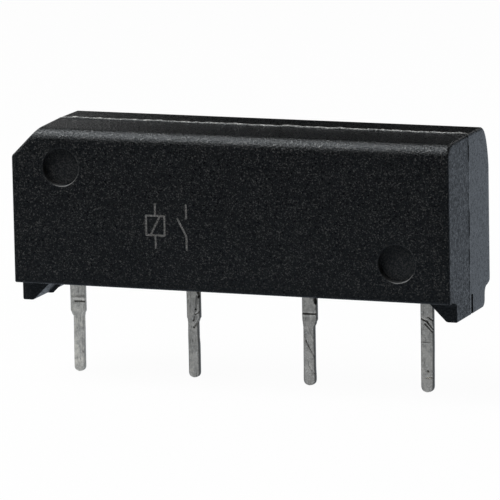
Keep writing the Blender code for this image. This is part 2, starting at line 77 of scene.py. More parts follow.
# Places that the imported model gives
CASE_LOW, CASE_HIGH = (np.array(corner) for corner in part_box("moulded_body"))
GLASS_LOW, GLASS_HIGH = (np.array(corner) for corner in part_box("glass_envelope"))
BOBBIN_LOW, BOBBIN_HIGH = (np.array(corner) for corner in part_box("bobbin"))
COIL_LOW, COIL_HIGH = (np.array(corner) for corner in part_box("coil_winding"))
AXIS_Z = float(GLASS_LOW[2] + GLASS_HIGH[2]) / 2
GLASS_HALF = float(GLASS_HIGH[0])
GLASS_RADIUS = float(GLASS_HIGH[2] - GLASS_LOW[2]) / 2
BOBBIN_HALF = float(BOBBIN_HIGH[0])
FLANGE_RADIUS = float(BOBBIN_HIGH[2] - BOBBIN_LOW[2]) / 2
COIL_HALF = float(COIL_HIGH[0])
COIL_RADIUS = float(COIL_HIGH[2] - COIL_LOW[2]) / 2
REED_END = float(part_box("reed_right")[1][0])
LEAD_PITCH = 5.08 * MM
LEAD_X = tuple((i - 1.5) * LEAD_PITCH for i in range(4))
FIT = 0.02 * MM
FIT_BELOW = 0.30 * MM


def length_setting(name, millimetres, description):
    """A setting that is a length, with its default in millimetres."""
    return FloatProperty(
        name=name, description=description, default=millimetres * MM, min=0.0, unit="LENGTH", precision=6)


def colour_setting(name, color, description):
    """A setting that is a colour."""
    return FloatVectorProperty(
        name=name, description=description, default=color, subtype="COLOR", min=0.0, max=1.0)


def angle_setting(name, degrees, description):
    """A setting that is an angle, with its default in degrees."""
    return FloatProperty(name=name, description=description, default=math.radians(degrees), subtype="ANGLE")


def power_setting(name, watts, description):
    """A setting that is a lamp's power."""
    return FloatProperty(name=name, description=description, default=watts, min=0.0, unit="POWER")


class CaseSizes(bpy.types.PropertyGroup):
    """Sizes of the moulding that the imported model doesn't give by its box."""

    flash_height: length_setting("Flash height", 0.09, "How far the fin on top stands proud")
    end_flash: length_setting("End flash", 0.03, "How far the fin stands proud of the two ends")
    foot_flash: length_setting("Foot flash", 0.14, "How far the fin stands proud of the feet's inner slopes")
    flash_width: length_setting("Flash width", 0.10, "Width of the fin at its root")
    grain: length_setting("Grain", 0.056, "Size of the grain that spark erosion left in the mould")
    color: colour_setting("Epoxy", (0.0010, 0.0012, 0.0014), "Colour of the moulding compound")
    mark_color: colour_setting("Marking", (0.13, 0.13, 0.127), "Colour of the burnt marking")


class LeadSizes(bpy.types.PropertyGroup):
    """Sizes and colours of the stamped leads."""

    thickness: length_setting("Thickness", 0.25, "Thickness of the strip")
    edge: length_setting("Edge radius", 0.07, "Radius of the stamped edges under the tin")
    color: colour_setting("Tin", (0.86, 0.79, 0.68), "Colour of the tin plating on lead 1")
    late_color: colour_setting("Duller tin", (0.59, 0.54, 0.47), "Colour of the tin plating on leads 2 to 4")


class SwitchSizes(bpy.types.PropertyGroup):
    """Sizes and colours of the reed switch and its coil."""

    wire: length_setting("Winding wire", 0.10, "Pitch of the winding's turns")
    sides: IntProperty(name="Sides", description="Number of sides of the round pieces", default=64, min=12)
    glass_color: colour_setting("Glass", (0.62, 0.80, 0.70), "Tint of the switch glass")
    copper_color: colour_setting("Copper", (0.62, 0.22, 0.08), "Colour of the enamelled copper wire")


class StageSettings(bpy.types.PropertyGroup):
    """The studio: the photograph's camera angle and the lamps."""

    azimuth: angle_setting("Azimuth", 20.65465, "Camera's turn to the right of the front face")
    elevation: angle_setting("Elevation", 10.64083, "Camera's angle above the board")
    roll: angle_setting("Roll", 1.09139, "Camera's turn about its own axis")
    distance: length_setting("Distance", 216.936, "From the camera to the point it looks at")
    lens: FloatProperty(name="Lens", description="Focal length in millimetres", default=381.72)
    key: power_setting("Key lamp", 0.67, "Power of the lamp above the front left")
    side: power_setting("Side lamp", 0.04, "Power of the lamp at the left")
    back: power_setting("Back lamp", 0.03, "Power of the lamp that lights the floor behind the object")
    rim: power_setting("Rim lamp", 0.001, "Power of the lamp low behind the left end")
    sky: FloatProperty(
        name="Studio", description="Brightness of the studio round the object", default=0.30, min=0.0)


# Each lamp: its name, its direction from the point that it faces, its distance, its width and that point. The
# key lamp stands where the rounded top edge throws its light to the camera.
MIDDLE = (0.0, 0.0, AXIS_Z)
LAMPS = (
    ("key", (-0.48, -0.24, 0.84), 160 * MM, 130 * MM, MIDDLE),
    ("side", (-0.74, -0.12, 0.66), 160 * MM, 40 * MM, MIDDLE),
    ("back", (0.0, 0.0, 1.0), 55 * MM, 60 * MM, (35 * MM, 70 * MM, -3.3 * MM)),
    ("rim", (-0.62, 0.74, 0.27), 60 * MM, 24 * MM, MIDDLE),
)
AIM = (-0.01138 * MM, 0.0, 2.2257 * MM)


# Meshes from grids of points

SHARP_ANGLE = 35.0
LEAD_SHARP_ANGLE = 50.0
WIRE_SHARP_ANGLE = 60.0
WINDING_SHARP_ANGLE = 80.0


def add_object(name, data):
    """A new object in the scene."""
    obj = bpy.data.objects.new(name, data)
    bpy.context.scene.collection.objects.link(obj)
    return obj


def units(vectors):
    """Each vector at length one: v / |v|."""
    return vectors / np.linalg.norm(vectors, axis=1, keepdims=True)


def clean_object(name, points, faces, smooth_angle=SHARP_ANGLE):
    """A mesh object with doubled points merged, normals pointing out and sharp edges marked."""
    mesh = bpy.data.meshes.new(name)
    mesh.from_pydata(points.reshape(-1, 3).tolist(), [], faces)
    bm = bmesh.new()
    bm.from_mesh(mesh)
    bmesh.ops.remove_doubles(bm, verts=bm.verts, dist=2e-8)
    bmesh.ops.dissolve_degenerate(bm, edges=bm.edges, dist=1e-8)
    bmesh.ops.recalc_face_normals(bm, faces=bm.faces)
    bm.to_mesh(mesh)
    bm.free()
    mesh.shade_smooth()
    mesh.set_sharp_from_angle(angle=math.radians(smooth_angle))
    return add_object(name, mesh)


def grid_faces(rows, columns, closed_rows=False):
    """The quads of a grid: row i and i + 1, column j and j + 1. The last column joins the first, and so does
    the last row where rows are closed."""
    i = np.arange(rows if closed_rows else rows - 1)[:, None]
    j = np.arange(columns)[None, :]
    i2, j2 = (i + 1) % rows, (j + 1) % columns
    quads = np.stack([i * columns + j, i * columns + j2, i2 * columns + j2, i2 * columns + j], axis=-1)
    return quads.reshape(-1, 4).tolist()


def lofted(name, points, smooth_angle=SHARP_ANGLE):
    """Rows of closed rings of points, (rows, columns, 3), joined in order and capped at both ends."""
    rows, columns = points.shape[:2]
    faces = grid_faces(rows, columns)
    faces.append(list(range(columns))[::-1])
    faces.append([(rows - 1) * columns + k for k in range(columns)])
    return clean_object(name, points, faces, smooth_angle)


def turned(name, x, radius, sides, closed=True, smooth_angle=SHARP_ANGLE):
    """An outline turned about the switch's axis: the point (x, r) goes to (x, r sin a, axis - r cos a). The
    radius may differ from angle to angle, with a row for each."""
    angle = np.linspace(0, 2 * math.pi, sides, endpoint=False)[:, None]
    radius = np.broadcast_to(radius, (sides, len(x)))
    across, up = radius * np.sin(angle), AXIS_Z - radius * np.cos(angle)
    points = np.stack([np.broadcast_to(x, across.shape), across, up], axis=-1)
    if closed:
        return clean_object(name, points, grid_faces(sides, len(x), True), smooth_angle)
    return lofted(name, points.transpose(1, 0, 2), smooth_angle)


def cut(target, cutters):
    """Takes the cutters' space out of the target, gives the cut faces their materials and drops them."""
    group = bpy.data.collections.new("cutters")
    for cutter in cutters:
        group.objects.link(cutter)
    modifier = target.modifiers.new("cut", "BOOLEAN")
    modifier.operand_type = "COLLECTION"
    modifier.collection = group
    modifier.solver = "EXACT"
    modifier.material_mode = "TRANSFER"
    graph = bpy.context.evaluated_depsgraph_get()
    target.data = bpy.data.meshes.new_from_object(target.evaluated_get(graph))
    target.modifiers.clear()
    for cutter in cutters:
        bpy.data.objects.remove(cutter)
    bpy.data.collections.remove(group)


def finish_piece(obj, mat, body, nodes=()):
    """Gives a piece its material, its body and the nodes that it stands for."""
    if mat is not None:
        obj.data.materials.clear()
        obj.data.materials.append(mat)
    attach(obj, body)
    if nodes:
        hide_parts(*nodes)
    return obj


# Materials

def new_material(name):
    """A material with an empty Principled BSDF, and its node tree and shader."""
    mat = bpy.data.materials.new(name)
    mat.use_nodes = True
    return mat, mat.node_tree, mat.node_tree.nodes["Principled BSDF"]


def plug(tree, made, inputs):
    """Sets a node's inputs, by name or number, to a node's output, a value or a colour of three parts."""
    for key, value in inputs.items():
        socket = made.inputs[key]
        if isinstance(value, bpy.types.NodeSocket):
            tree.links.new(value, socket)
        else:
            socket.default_value = (*value, 1.0) if socket.type == "RGBA" else value


def node(tree, kind, inputs, **settings):
    """A node with its settings and inputs."""
    made = tree.nodes.new(kind)
    for key, value in settings.items():
        setattr(made, key, value)
    plug(tree, made, inputs)
    return made


def normal(tree):
    """The surface's normal in the object's own axes."""
    return node(tree, "ShaderNodeTexCoord", {}).outputs["Normal"]


def parts(tree, vector):
    """The X, Y and Z of a vector."""
    return node(tree, "ShaderNodeSeparateXYZ", {"Vector": vector}).outputs[:]


def place(tree, scale=(1.0, 1.0, 1.0), rotation=(0.0, 0.0, 0.0)):
    """Object coordinates, turned by the rotation and stretched by the scale."""
    source = node(tree, "ShaderNodeTexCoord", {}).outputs["Object"]
    mapping = node(tree, "ShaderNodeMapping", {"Vector": source, "Scale": scale, "Rotation": rotation})
    return mapping.outputs["Vector"]


def noise(tree, vector, size, detail=2.0, roughness=0.5, distortion=0.0):
    """Noise whose features are about the size in metres, from 0 to 1."""
    made = node(tree, "ShaderNodeTexNoise", {
        "Vector": vector, "Scale": 1.0 / size, "Detail": detail, "Roughness": roughness,
        "Distortion": distortion})
    return made.outputs["Fac"]


def ramp(tree, value, low, high, to_low=0.0, to_high=1.0):
    """The value carried from low..high to to_low..to_high, and held at the ends."""
    made = node(tree, "ShaderNodeMapRange", {
        "Value": value, "From Min": low, "From Max": high, "To Min": to_low, "To Max": to_high})
    return made.outputs["Result"]


def maths(tree, operation, *values):
    """The operation on one value, or on the first two, then on that result and the next, and so on."""
    result = values[0]
    for value in values[1:] or (0.0,):
        result = node(tree, "ShaderNodeMath", {0: result, 1: value}, operation=operation).outputs[0]
    return result


def times(tree, *values):
    """The values multiplied."""
    return maths(tree, "MULTIPLY", *values)


def plus(tree, *values):
    """The values added up."""
    return maths(tree, "ADD", *values)


def mix(tree, share, a, b):
    """Colour a turning into colour b as the share goes from 0 to 1."""
    made = node(tree, "ShaderNodeMix", {"Factor": share, 6: a, 7: b}, data_type="RGBA")
    return made.outputs[2]


def bump(tree, shader, height, depth, strength=1.0):
    """Raises the shaded surface by the height, from 0 to 1, times the depth in metres."""
    made = node(tree, "ShaderNodeBump", {"Height": height, "Distance": depth, "Strength": strength})
    plug(tree, shader, {"Normal": made.outputs["Normal"]})


def scaled(color, factor):
    """The colour times a factor."""
    return tuple(min(1.0, c * factor) for c in color)


# Colour of the painted highlights: the lit crest of the top flash and the lit side of each ejector mark's lip
PAINTED_HIGHLIGHT_COLOR = (0.26, 0.26, 0.25)
EPOXY_GLOSS = 0.18
EPOXY_TINT = (0.88, 0.95, 1.0)
GRAIN_DEPTH = 0.048 * MM
SPECK_COLOR = (0.060, 0.060, 0.058)
# What the top and the end of the back half add to the roughness
TOP_ROUGHNESS = -0.06
BACK_END_ROUGHNESS = -0.14
# Direction that the ejector lips' painted highlight faces: up and to the left, towards the key lamp
PAINTED_LIP_HIGHLIGHT_FACING = (-0.42, 0.0, 0.9)
SCRATCH_COLOR = (0.04, 0.04, 0.04)
EDGE_COLOR = (0.035, 0.034, 0.032)


def epoxy_material(sizes):
    """Black moulding compound from a spark-eroded mould: pale specks of grain on the front, fewer near the
    feet and on the ends, coarser on the front's rounded edge, and few on the top as painted shade against the
    key lamp's stronger light there; a smoother top and back end; and a painted highlight along the up-facing
    crest of the flash on top."""
    mat, tree, shader = new_material("black_epoxy")
    at = place(tree)
    grain = noise(tree, at, sizes.grain, 2.0, 0.6)
    coarse = noise(tree, at, sizes.grain * 1.8, 2.0, 0.6)
    broad = noise(tree, at, sizes.grain * 30)
    _, y, z = parts(tree, at)
    facing_x, facing_y, facing_z = parts(tree, normal(tree))
    across = maths(tree, "ABSOLUTE", facing_y)
    end = ramp(tree, maths(tree, "ABSOLUTE", facing_x), 0.7, 0.95)
    back = times(tree, ramp(tree, y, -0.01 * MM, 0.03 * MM), end)

    base = mix(tree, ramp(tree, broad, 0.35, 0.65), scaled(sizes.color, 0.7), scaled(sizes.color, 1.3))
    # Specks of grain, full on the front and back and a tenth as many on the top: that cut on the top is
    # painted shade, since the key lamp lights the top more strongly
    speck_share_and_painted_shade = ramp(tree, across, 0.24, 0.66, 0.1, 1.0)
    speck_share_and_painted_shade = maths(tree, "MAXIMUM", speck_share_and_painted_shade, ramp(tree, end, 0.0, 1.0, 0.0, 0.55))
    above_feet = ramp(tree, z, 0.85 * MM, 1.5 * MM, 0.35, 1.0)
    fine = times(tree, ramp(tree, grain, 0.55, 0.72), speck_share_and_painted_shade, above_feet)
    edge = times(tree, ramp(tree, facing_z, 0.2, 0.5), ramp(tree, across, 0.2, 0.71, 0.09, 1.0))
    specks = maths(tree, "MAXIMUM", fine, times(tree, ramp(tree, coarse, 0.54, 0.70), edge))
    base = mix(tree, specks, base, SPECK_COLOR)

    # Painted highlight: a pale, broken line along the top flash where it faces up, for the key lamp's glint on
    # its crest
    line = ramp(tree, maths(tree, "ABSOLUTE", y), 0.045 * MM, 0.03 * MM)
    high = ramp(tree, z, TOP - CHAMFER - 0.2 * MM, TOP - CHAMFER)
    broken = ramp(tree, noise(tree, at, 0.22 * MM, 3.0, 0.7), 0.46, 0.64, 0.22, 1.0)
    flash = times(tree, line, ramp(tree, facing_z, 0.1, 0.4), high, broken)
    base = mix(tree, flash, base, PAINTED_HIGHLIGHT_COLOR)

    rough = plus(tree, ramp(tree, coarse, 0.37, 0.63, 0.52, 0.24),
                 times(tree, ramp(tree, facing_z, 0.80, 0.98), TOP_ROUGHNESS),
                 times(tree, back, BACK_END_ROUGHNESS))
    plug(tree, shader, {"Base Color": base, "Roughness": rough, "Specular IOR Level": EPOXY_GLOSS,
                        "Specular Tint": EPOXY_TINT})
    height = plus(tree, times(tree, grain, 0.5), times(tree, coarse, 0.5))
    height = times(tree, height, ramp(tree, end, 0.0, 1.0, 1.0, 0.45), ramp(tree, back, 0.0, 1.0, 1.0, 0.45))
    bump(tree, shader, height, GRAIN_DEPTH)
    return mat


def ejector_material(sizes):
    """The same compound where the ejector pins left it smoother, with a painted highlight on the side of each
    lip that faces up and left, towards the key lamp.
    """
    mat, tree, shader = new_material("ejector_mark")
    at = place(tree)
    grain = noise(tree, at, sizes.grain)
    base = mix(tree, ramp(tree, grain, 0.42, 0.72), scaled(sizes.color, 4.0), scaled(SPECK_COLOR, 0.55))
    # Painted highlight: the rim at the front face, where it faces up and left towards the key lamp, is painted
    # pale
    towards = {0: normal(tree), 1: PAINTED_LIP_HIGHLIGHT_FACING}
    facing = node(tree, "ShaderNodeVectorMath", towards, operation="DOT_PRODUCT")
    lip = ramp(tree, parts(tree, at)[1], -FRONT_DEPTH + 0.06 * MM, -FRONT_DEPTH + 0.04 * MM)
    lip = times(tree, ramp(tree, facing.outputs["Value"], 0.45, 0.85, 0.0, 0.4), lip)
    plug(tree, shader, {
        "Base Color": mix(tree, lip, base, PAINTED_HIGHLIGHT_COLOR), "Roughness": ramp(tree, grain, 0.3, 0.7, 0.36, 0.48),
        "Specular IOR Level": EPOXY_GLOSS, "Specular Tint": EPOXY_TINT})
    bump(tree, shader, grain, GRAIN_DEPTH * 0.3)
    return mat


def mark_material(sizes):
    """The grey floor of a burnt marking, uneven from pulse to pulse."""
    mat, tree, shader = new_material("burnt_mark")
    grain = noise(tree, place(tree), 0.07 * MM, 2.0, 0.6)
    base = mix(tree, ramp(tree, grain, 0.3, 0.7), scaled(sizes.mark_color, 0.2), scaled(sizes.mark_color, 1.6))
    plug(tree, shader, {"Base Color": base, "Roughness": 0.8, "Specular IOR Level": 0.2})
    bump(tree, shader, grain, 0.02 * MM, 0.5)
    return mat


def tin_material(sizes):
    """Tin over copper alloy: drawn along the lead, mottled where it flowed, scored where it was handled, dark
    on the sheared edges, and duller on leads 2 to 4."""
    mat, tree, shader = new_material("tinned_lead")
    at = place(tree)
    drawn = noise(tree, place(tree, (1.0, 1.0, 0.10)), 0.06 * MM, 3.0, 0.6)
    blotch = noise(tree, at, 0.30 * MM, 4.0, 0.65, 0.6)
    fleck = noise(tree, at, 0.07 * MM, 2.0, 0.6)
    score = noise(tree, place(tree, (1.0, 1.0, 0.16), (0.0, math.radians(32), 0.0)), 0.05 * MM)
    x = parts(tree, at)[0]
    edge = maths(tree, "ABSOLUTE", parts(tree, normal(tree))[0])
    tint = mix(tree, ramp(tree, x, LEAD_X[0], LEAD_X[1]), sizes.color, sizes.late_color)
    dark = mix(tree, 0.42, tint, (0.03, 0.03, 0.03))
    light = mix(tree, 0.35, tint, (1.0, 1.0, 0.98))
    base = mix(tree, ramp(tree, blotch, 0.40, 0.62), dark, tint)
    base = mix(tree, ramp(tree, fleck, 0.58, 0.72, 0.0, 0.8), base, light)
    base = mix(tree, ramp(tree, drawn, 0.40, 0.28, 0.0, 0.8), base, SCRATCH_COLOR)
    base = mix(tree, ramp(tree, score, 0.34, 0.26, 0.0, 0.8), base, SCRATCH_COLOR)
    late = ramp(tree, x, LEAD_X[0], LEAD_X[1], 0.4, 1.0)
    base = mix(tree, times(tree, ramp(tree, edge, 0.25, 0.7, 0.0, 0.8), late), base, EDGE_COLOR)
    plug(tree, shader, {"Base Color": base, "Metallic": 1.0,
                        "Roughness": ramp(tree, blotch, 0.3, 0.7, 0.34, 0.52)})
    height = plus(tree, times(tree, drawn, 0.4), times(tree, fleck, 0.3), times(tree, score, 0.3))
    bump(tree, shader, height, 0.03 * MM, 0.8)
    return mat


def glass_material(sizes):
    """Green infrared-absorbing glass with faint draw lines."""
    mat, tree, shader = new_material("switch_glass")
    lines = noise(tree, place(tree, (0.05, 1.0, 1.0)), 0.12 * MM)
    base = mix(tree, ramp(tree, lines, 0.3, 0.7), scaled(sizes.glass_color, 0.96), sizes.glass_color)
    plug(tree, shader, {"Base Color": base, "Roughness": ramp(tree, lines, 0.2, 0.8, 0.02, 0.06),
                        "Transmission Weight": 1.0, "IOR": 1.52})
    bump(tree, shader, lines, 0.002 * MM, 0.3)
    return mat


def reed_material():
    """Nickel-iron wire with drawn lines, and a bright hard plating on the overlapping ends of the blades."""
    mat, tree, shader = new_material("nickel_iron")
    at = place(tree)
    lines = noise(tree, place(tree, (0.06, 1.0, 1.0)), 0.05 * MM, 3.0, 0.6)
    wander = times(tree, noise(tree, at, 0.3 * MM), 0.12 * MM)
    far = plus(tree, maths(tree, "ABSOLUTE", parts(tree, at)[0]), wander)
    base = mix(tree, ramp(tree, lines, 0.3, 0.7), (0.34, 0.32, 0.29), (0.52, 0.50, 0.46))
    base = mix(tree, ramp(tree, far, 0.98 * MM, 0.94 * MM), base, (0.66, 0.66, 0.68))
    plug(tree, shader, {"Base Color": base, "Metallic": 1.0,
                        "Roughness": ramp(tree, lines, 0.3, 0.7, 0.22, 0.38)})
    bump(tree, shader, lines, 0.004 * MM, 0.5)
    return mat


def plastic_material():
    """Natural glass-filled plastic of the bobbin, with its fibres showing faintly."""
    mat, tree, shader = new_material("bobbin_plastic")
    fibres = noise(tree, place(tree, (0.15, 1.0, 1.0)), 0.04 * MM, 2.0, 0.6)
    cloud = noise(tree, place(tree), 0.6 * MM)
    base = mix(tree, ramp(tree, cloud, 0.3, 0.7), (0.50, 0.44, 0.33), (0.58, 0.52, 0.41))
    base = mix(tree, ramp(tree, fibres, 0.62, 0.75, 0.0, 0.5), base, (0.72, 0.68, 0.58))
    plug(tree, shader, {"Base Color": base, "Roughness": ramp(tree, fibres, 0.3, 0.7, 0.38, 0.55)})
    bump(tree, shader, fibres, 0.006 * MM, 0.5)
    return mat


def copper_material(name, color):
    """Copper under clear enamel, a little uneven along the wire."""
    mat, tree, shader = new_material(name)
    uneven = noise(tree, place(tree), 0.25 * MM, 3.0, 0.6)
    base = mix(tree, ramp(tree, uneven, 0.3, 0.7), scaled(color, 0.8), scaled(color, 1.15))
    plug(tree, shader, {
        "Base Color": base, "Metallic": 0.9, "Roughness": ramp(tree, uneven, 0.3, 0.7, 0.24, 0.36),
        "Coat Weight": 0.6, "Coat Roughness": 0.12})
    bump(tree, shader, uneven, 0.004 * MM, 0.4)
    return mat


# The moulded case

FRONT_DEPTH = 2.54 * MM
HALF_LENGTH = 9.440 * MM
TOP = 7.40 * MM
UNDERSIDE = 0.81 * MM
CHAMFER = 1.15 * MM
END_DRAFT = math.radians(0.3)
CORNER_RADIUS = 0.12 * MM
EDGE_RADIUS = 0.12 * MM
END_EDGE = (0.09 * MM, 0.07 * MM)
FOOT_FLAT = 0.46 * MM
FOOT_SLOPE = math.radians(45)
FOOT_DEPTHS = {-1: 1.66 * MM, 1: 1.93 * MM}
FOOT_ROUND = {-1: 0.04 * MM, 1: 0.24 * MM}
FOOT_FILLETS = {-1: (0.20 * MM, 0.20 * MM), 1: (0.32 * MM, 0.40 * MM)}
FOOT_CORNER_RADIUS = 0.05 * MM
FOOT_SLOPE_RADIUS = 0.18 * MM
STATION_PITCH = 0.16 * MM
STATION_GAP = 0.004 * MM
ARC_STEPS = 8
TINY = 1e-9

# For each half of the moulding: side of the parting plane, depth, draft, and the reach inwards and down of
# the quarter ellipses that round its top edge, the edge along the chamfer and its lower edge
FRONT_TOP = (0.50 * MM, 0.50 * MM)
FRONT_HALF = (-1, FRONT_DEPTH, math.radians(1.5), FRONT_TOP, (EDGE_RADIUS,) * 2, (EDGE_RADIUS,) * 2)
BACK_TOP = (0.85 * MM, 2.60 * MM)
BACK_HALF = (1, float(CASE_HIGH[1]), math.radians(0.3), BACK_TOP, BACK_TOP, (0.45 * MM, 0.28 * MM))

# Spans that each side of the outline is divided into: foot, its slope, underside, slope, foot, end, top,
# chamfer and end; and whose flash stands on that side: 0 none, 1 the end's, 2 the top's, 3 the foot's
SIDE_SPANS = (6, 12, 130, 12, 6, 40, 150, 16, 36)
FLASH_ON_SIDE = (0, 3, 0, 3, 0, 1, 2, 1, 1)

# Waves that break up the flash: height, turns in radians to the millimetre, and start, on a mean height
FLASH_MEAN = 0.66
FLASH_WAVES = ((0.08, 1.9, 0.0), (0.07, 5.3, 1.0), (0.09, 11.7, 2.0), (0.07, 23.0, 0.5))
END_WAVE_SHARE = 0.3
FLASH_LEAST = 0.12

# Lumps of the flash along the top and along the ends: X or Z, half width, and share of the full height
TOP_LUMPS = ((1.75, 0.35, 1.0), (3.95, 0.18, 0.95), (-2.2, 0.25, 0.7), (6.6, 0.3, 0.6))
END_LUMPS = ((6.65, 0.35, 0.7), (3.75, 0.5, 1.0), (2.4, 0.35, 0.8), (1.2, 0.2, 0.5))


def ellipse_inset(inside, rounding):
    """How far an edge rounded by a quarter ellipse has drawn in, at each distance inside the face."""
    depth, drop = rounding
    into = np.clip(depth - inside, 0.0, depth)
    return drop * (1 - np.sqrt(1 - (into / depth) ** 2))


def rounded_outlines(corners, radii):
    """Outlines (S, P, 2) from corners (S, N, 2): an arc of each corner's radius r, which touches both sides at
    r / tan(half the corner's angle) from it, then the side to the next corner in equal spans."""
    back = np.roll(corners, 1, axis=1) - corners
    ahead = np.roll(corners, -1, axis=1) - corners
    length_back = np.linalg.norm(back, axis=-1, keepdims=True)
    length_ahead = np.linalg.norm(ahead, axis=-1, keepdims=True)
    back, ahead = back / np.maximum(length_back, TINY), ahead / np.maximum(length_ahead, TINY)
    between = np.linalg.norm(back + ahead, axis=-1, keepdims=True)
    flat = (between < 1e-6) | (np.minimum(length_back, length_ahead) < TINY)
    half = np.arccos(np.clip((back * ahead).sum(-1, keepdims=True), -1, 1)) / 2
    tangent = np.where(flat, 1.0, np.tan(np.where(flat, 0.5, half)))
    reach = np.minimum(radii[..., None] / tangent, 0.49 * np.minimum(length_back, length_ahead))
    reach = np.where(flat, 0.0, reach)
    radius = reach * tangent
    out = np.where(flat, 0.0, (back + ahead) / np.where(flat, 1.0, between))
    centre = corners + out * radius / np.sin(np.where(flat, 1.0, half))
    start, finish = corners + back * reach - centre, corners + ahead * reach - centre
    cross = start[..., 0] * finish[..., 1] - start[..., 1] * finish[..., 0]
    turn = (np.copysign(math.pi - 2 * half[..., 0], cross))[..., None] * np.linspace(0, 1, ARC_STEPS + 1)
    c, s = np.cos(turn), np.sin(turn)
    x = centre[..., None, 0] + c * start[..., None, 0] - s * start[..., None, 1]
    z = centre[..., None, 1] + s * start[..., None, 0] + c * start[..., None, 1]
    arcs = np.stack([x, z], axis=-1)
    parts = []
    for side, spans in enumerate(SIDE_SPANS):
        parts.append(arcs[:, side])
        share = np.linspace(0, 1, spans + 1)[1:-1, None]
        first, last = arcs[:, side, -1:, :], arcs[:, (side + 1) % len(SIDE_SPANS), :1, :]
        parts.append(first + (last - first) * share)
    return np.concatenate(parts, axis=1)


def case_corners(half, distance, foot_z):
    """The nine corners of the case's outline at each distance from the parting plane, and their radii."""
    _, depth, draft, top_round, chamfer_round, under_round = half
    inside = depth - distance
    face = distance * math.tan(draft)
    top = TOP - face - ellipse_inset(inside, top_round)
    under = UNDERSIDE + face + ellipse_inset(inside, under_round)
    sides = distance * math.tan(END_DRAFT) + ellipse_inset(inside, END_EDGE)
    left, right = -HALF_LENGTH + sides, HALF_LENGTH - sides
    cut_off = TOP + HALF_LENGTH - CHAMFER - (face + ellipse_inset(inside, chamfer_round)) * math.sqrt(2)
    foot_z = np.minimum(foot_z, under)
    inner = FOOT_FLAT + (under - foot_z) / math.tan(FOOT_SLOPE)
    x = [left, -HALF_LENGTH + FOOT_FLAT + 0 * left, -HALF_LENGTH + inner, HALF_LENGTH - inner,
         HALF_LENGTH - FOOT_FLAT + 0 * left, right, right, top - cut_off, left]
    z = [foot_z, foot_z, under, under, foot_z, foot_z, top, top, cut_off + left]
    foot = np.minimum(FOOT_SLOPE_RADIUS, (under - foot_z) / 2)
    corner = FOOT_CORNER_RADIUS + 0 * foot
    radii = [corner] + [foot] * 4 + [corner] + [CORNER_RADIUS + 0 * foot] * 3
    return np.stack([np.stack(x, -1), np.stack(z, -1)], -1), np.stack(radii, -1)


def case_stations(half, flash_width):
    """Distances from the parting plane at which the outline is taken, and the height of the feet there."""
    foot_depth, foot_round = FOOT_DEPTHS[half[0]], FOOT_ROUND[half[0]]
    angle = np.linspace(0, math.pi / 2, ARC_STEPS + 1)
    toe = foot_depth - foot_round * (1 - np.sin(angle))
    at_flash = np.linspace(0, flash_width / 2, 6)
    near = np.concatenate([at_flash, np.arange(flash_width, toe[0] - STATION_GAP, STATION_PITCH)])
    fillet_depth, fillet_height = FOOT_FILLETS[half[0]]
    fillet = foot_depth + STATION_GAP + fillet_depth * (1 - np.cos(angle))
    near_z = np.concatenate([0 * near, foot_round * (1 - np.cos(angle))])
    near = np.concatenate([near, toe])
    fillet_z = UNDERSIDE - fillet_height * (1 - np.sin(angle))
    reaches = sorted({half[3][0], half[5][0], EDGE_RADIUS, END_EDGE[0]})
    arcs = [half[1] - reach * (1 - np.sin(angle)) for reach in reaches]
    far = np.unique(np.round(np.concatenate(arcs), 7))
    far = far[far > fillet[-1] + STATION_GAP]
    distance = np.concatenate([near, fillet, far])
    foot_z = np.concatenate([near_z, fillet_z, np.full(len(far), TOP)])
    return distance, foot_z


def flash_heights(outline, sizes):
    """Height of the flash at each point of the parting outline: waves along it, with lumps on top."""
    per_side = [[kind] * (ARC_STEPS + spans) for kind, spans in zip(FLASH_ON_SIDE, SIDE_SPANS)]
    kind = np.concatenate(per_side)
    steps = np.linalg.norm(np.diff(outline, axis=0, append=outline[:1]), axis=1)
    along = np.cumsum(steps) / MM
    wave = FLASH_MEAN + sum(high * np.sin(often * along + start) for high, often, start in FLASH_WAVES)
    wave = np.where(kind == 1, END_WAVE_SHARE * wave, wave)
    for which, at, lumps in ((2, outline[:, 0] / MM, TOP_LUMPS), (1, outline[:, 1] / MM, END_LUMPS)):
        for centre, width, height in lumps:
            lump = height * np.exp(-((at - centre) / width) ** 4)
            wave = np.where(kind == which, np.maximum(wave, lump), wave)
    wave = np.where(kind == 3, 1.0, wave)
    tall = np.choose(kind, (0.0, sizes.end_flash, sizes.flash_height, sizes.foot_flash))
    tall = np.convolve(np.concatenate([tall[-4:], tall, tall[:4]]), np.ones(9) / 9, "valid")
    return np.clip(wave, FLASH_LEAST, 1.0) * tall


def case_shell(sizes):
    """The case as outlines lofted from the back face to the front face: each is drawn in by the draft and by
    the edge roundings. Near the parting plane the flash adds height * (1 - (y / half width)^2)."""
    rings = []
    for half in (BACK_HALF, FRONT_HALF):
        distance, foot_z = case_stations(half, sizes.flash_width)
        corners, radii = case_corners(half, distance, foot_z)
        outline = rounded_outlines(corners, radii)
        ahead = np.roll(outline[0], -1, axis=0) - np.roll(outline[0], 1, axis=0)
        length = np.maximum(np.linalg.norm(ahead, axis=1, keepdims=True), 1e-12)
        outwards = np.stack([ahead[:, 1], -ahead[:, 0]], -1) / length
        share = np.clip(1 - (distance / (sizes.flash_width / 2)) ** 2, 0, 1)
        height = flash_heights(outline[0], sizes)
        outline = outline + outwards[None] * (share[:, None] * height[None])[..., None]
        outline = np.clip(outline, CASE_LOW[[0, 2]], CASE_HIGH[[0, 2]])
        side = half[0]
        y = np.broadcast_to((side * distance)[:, None], outline.shape[:2])
        points = np.stack([outline[..., 0], y, outline[..., 1]], -1)
        rings.append(points[::-1] if side > 0 else points[1:])
    return lofted("case", np.concatenate(rings))


EJECTOR_RADIUS = 0.78 * MM
EJECTOR_DEPTH = 0.26 * MM
EJECTOR_RIM = 0.045 * MM
EJECTOR_FILLET = 0.02 * MM
EJECTOR_SIDES = 96
CAVITY_SIDES = 48
EJECTOR_PLACES = ((-7.26 * MM, 5.77 * MM), (7.20 * MM, 2.46 * MM))


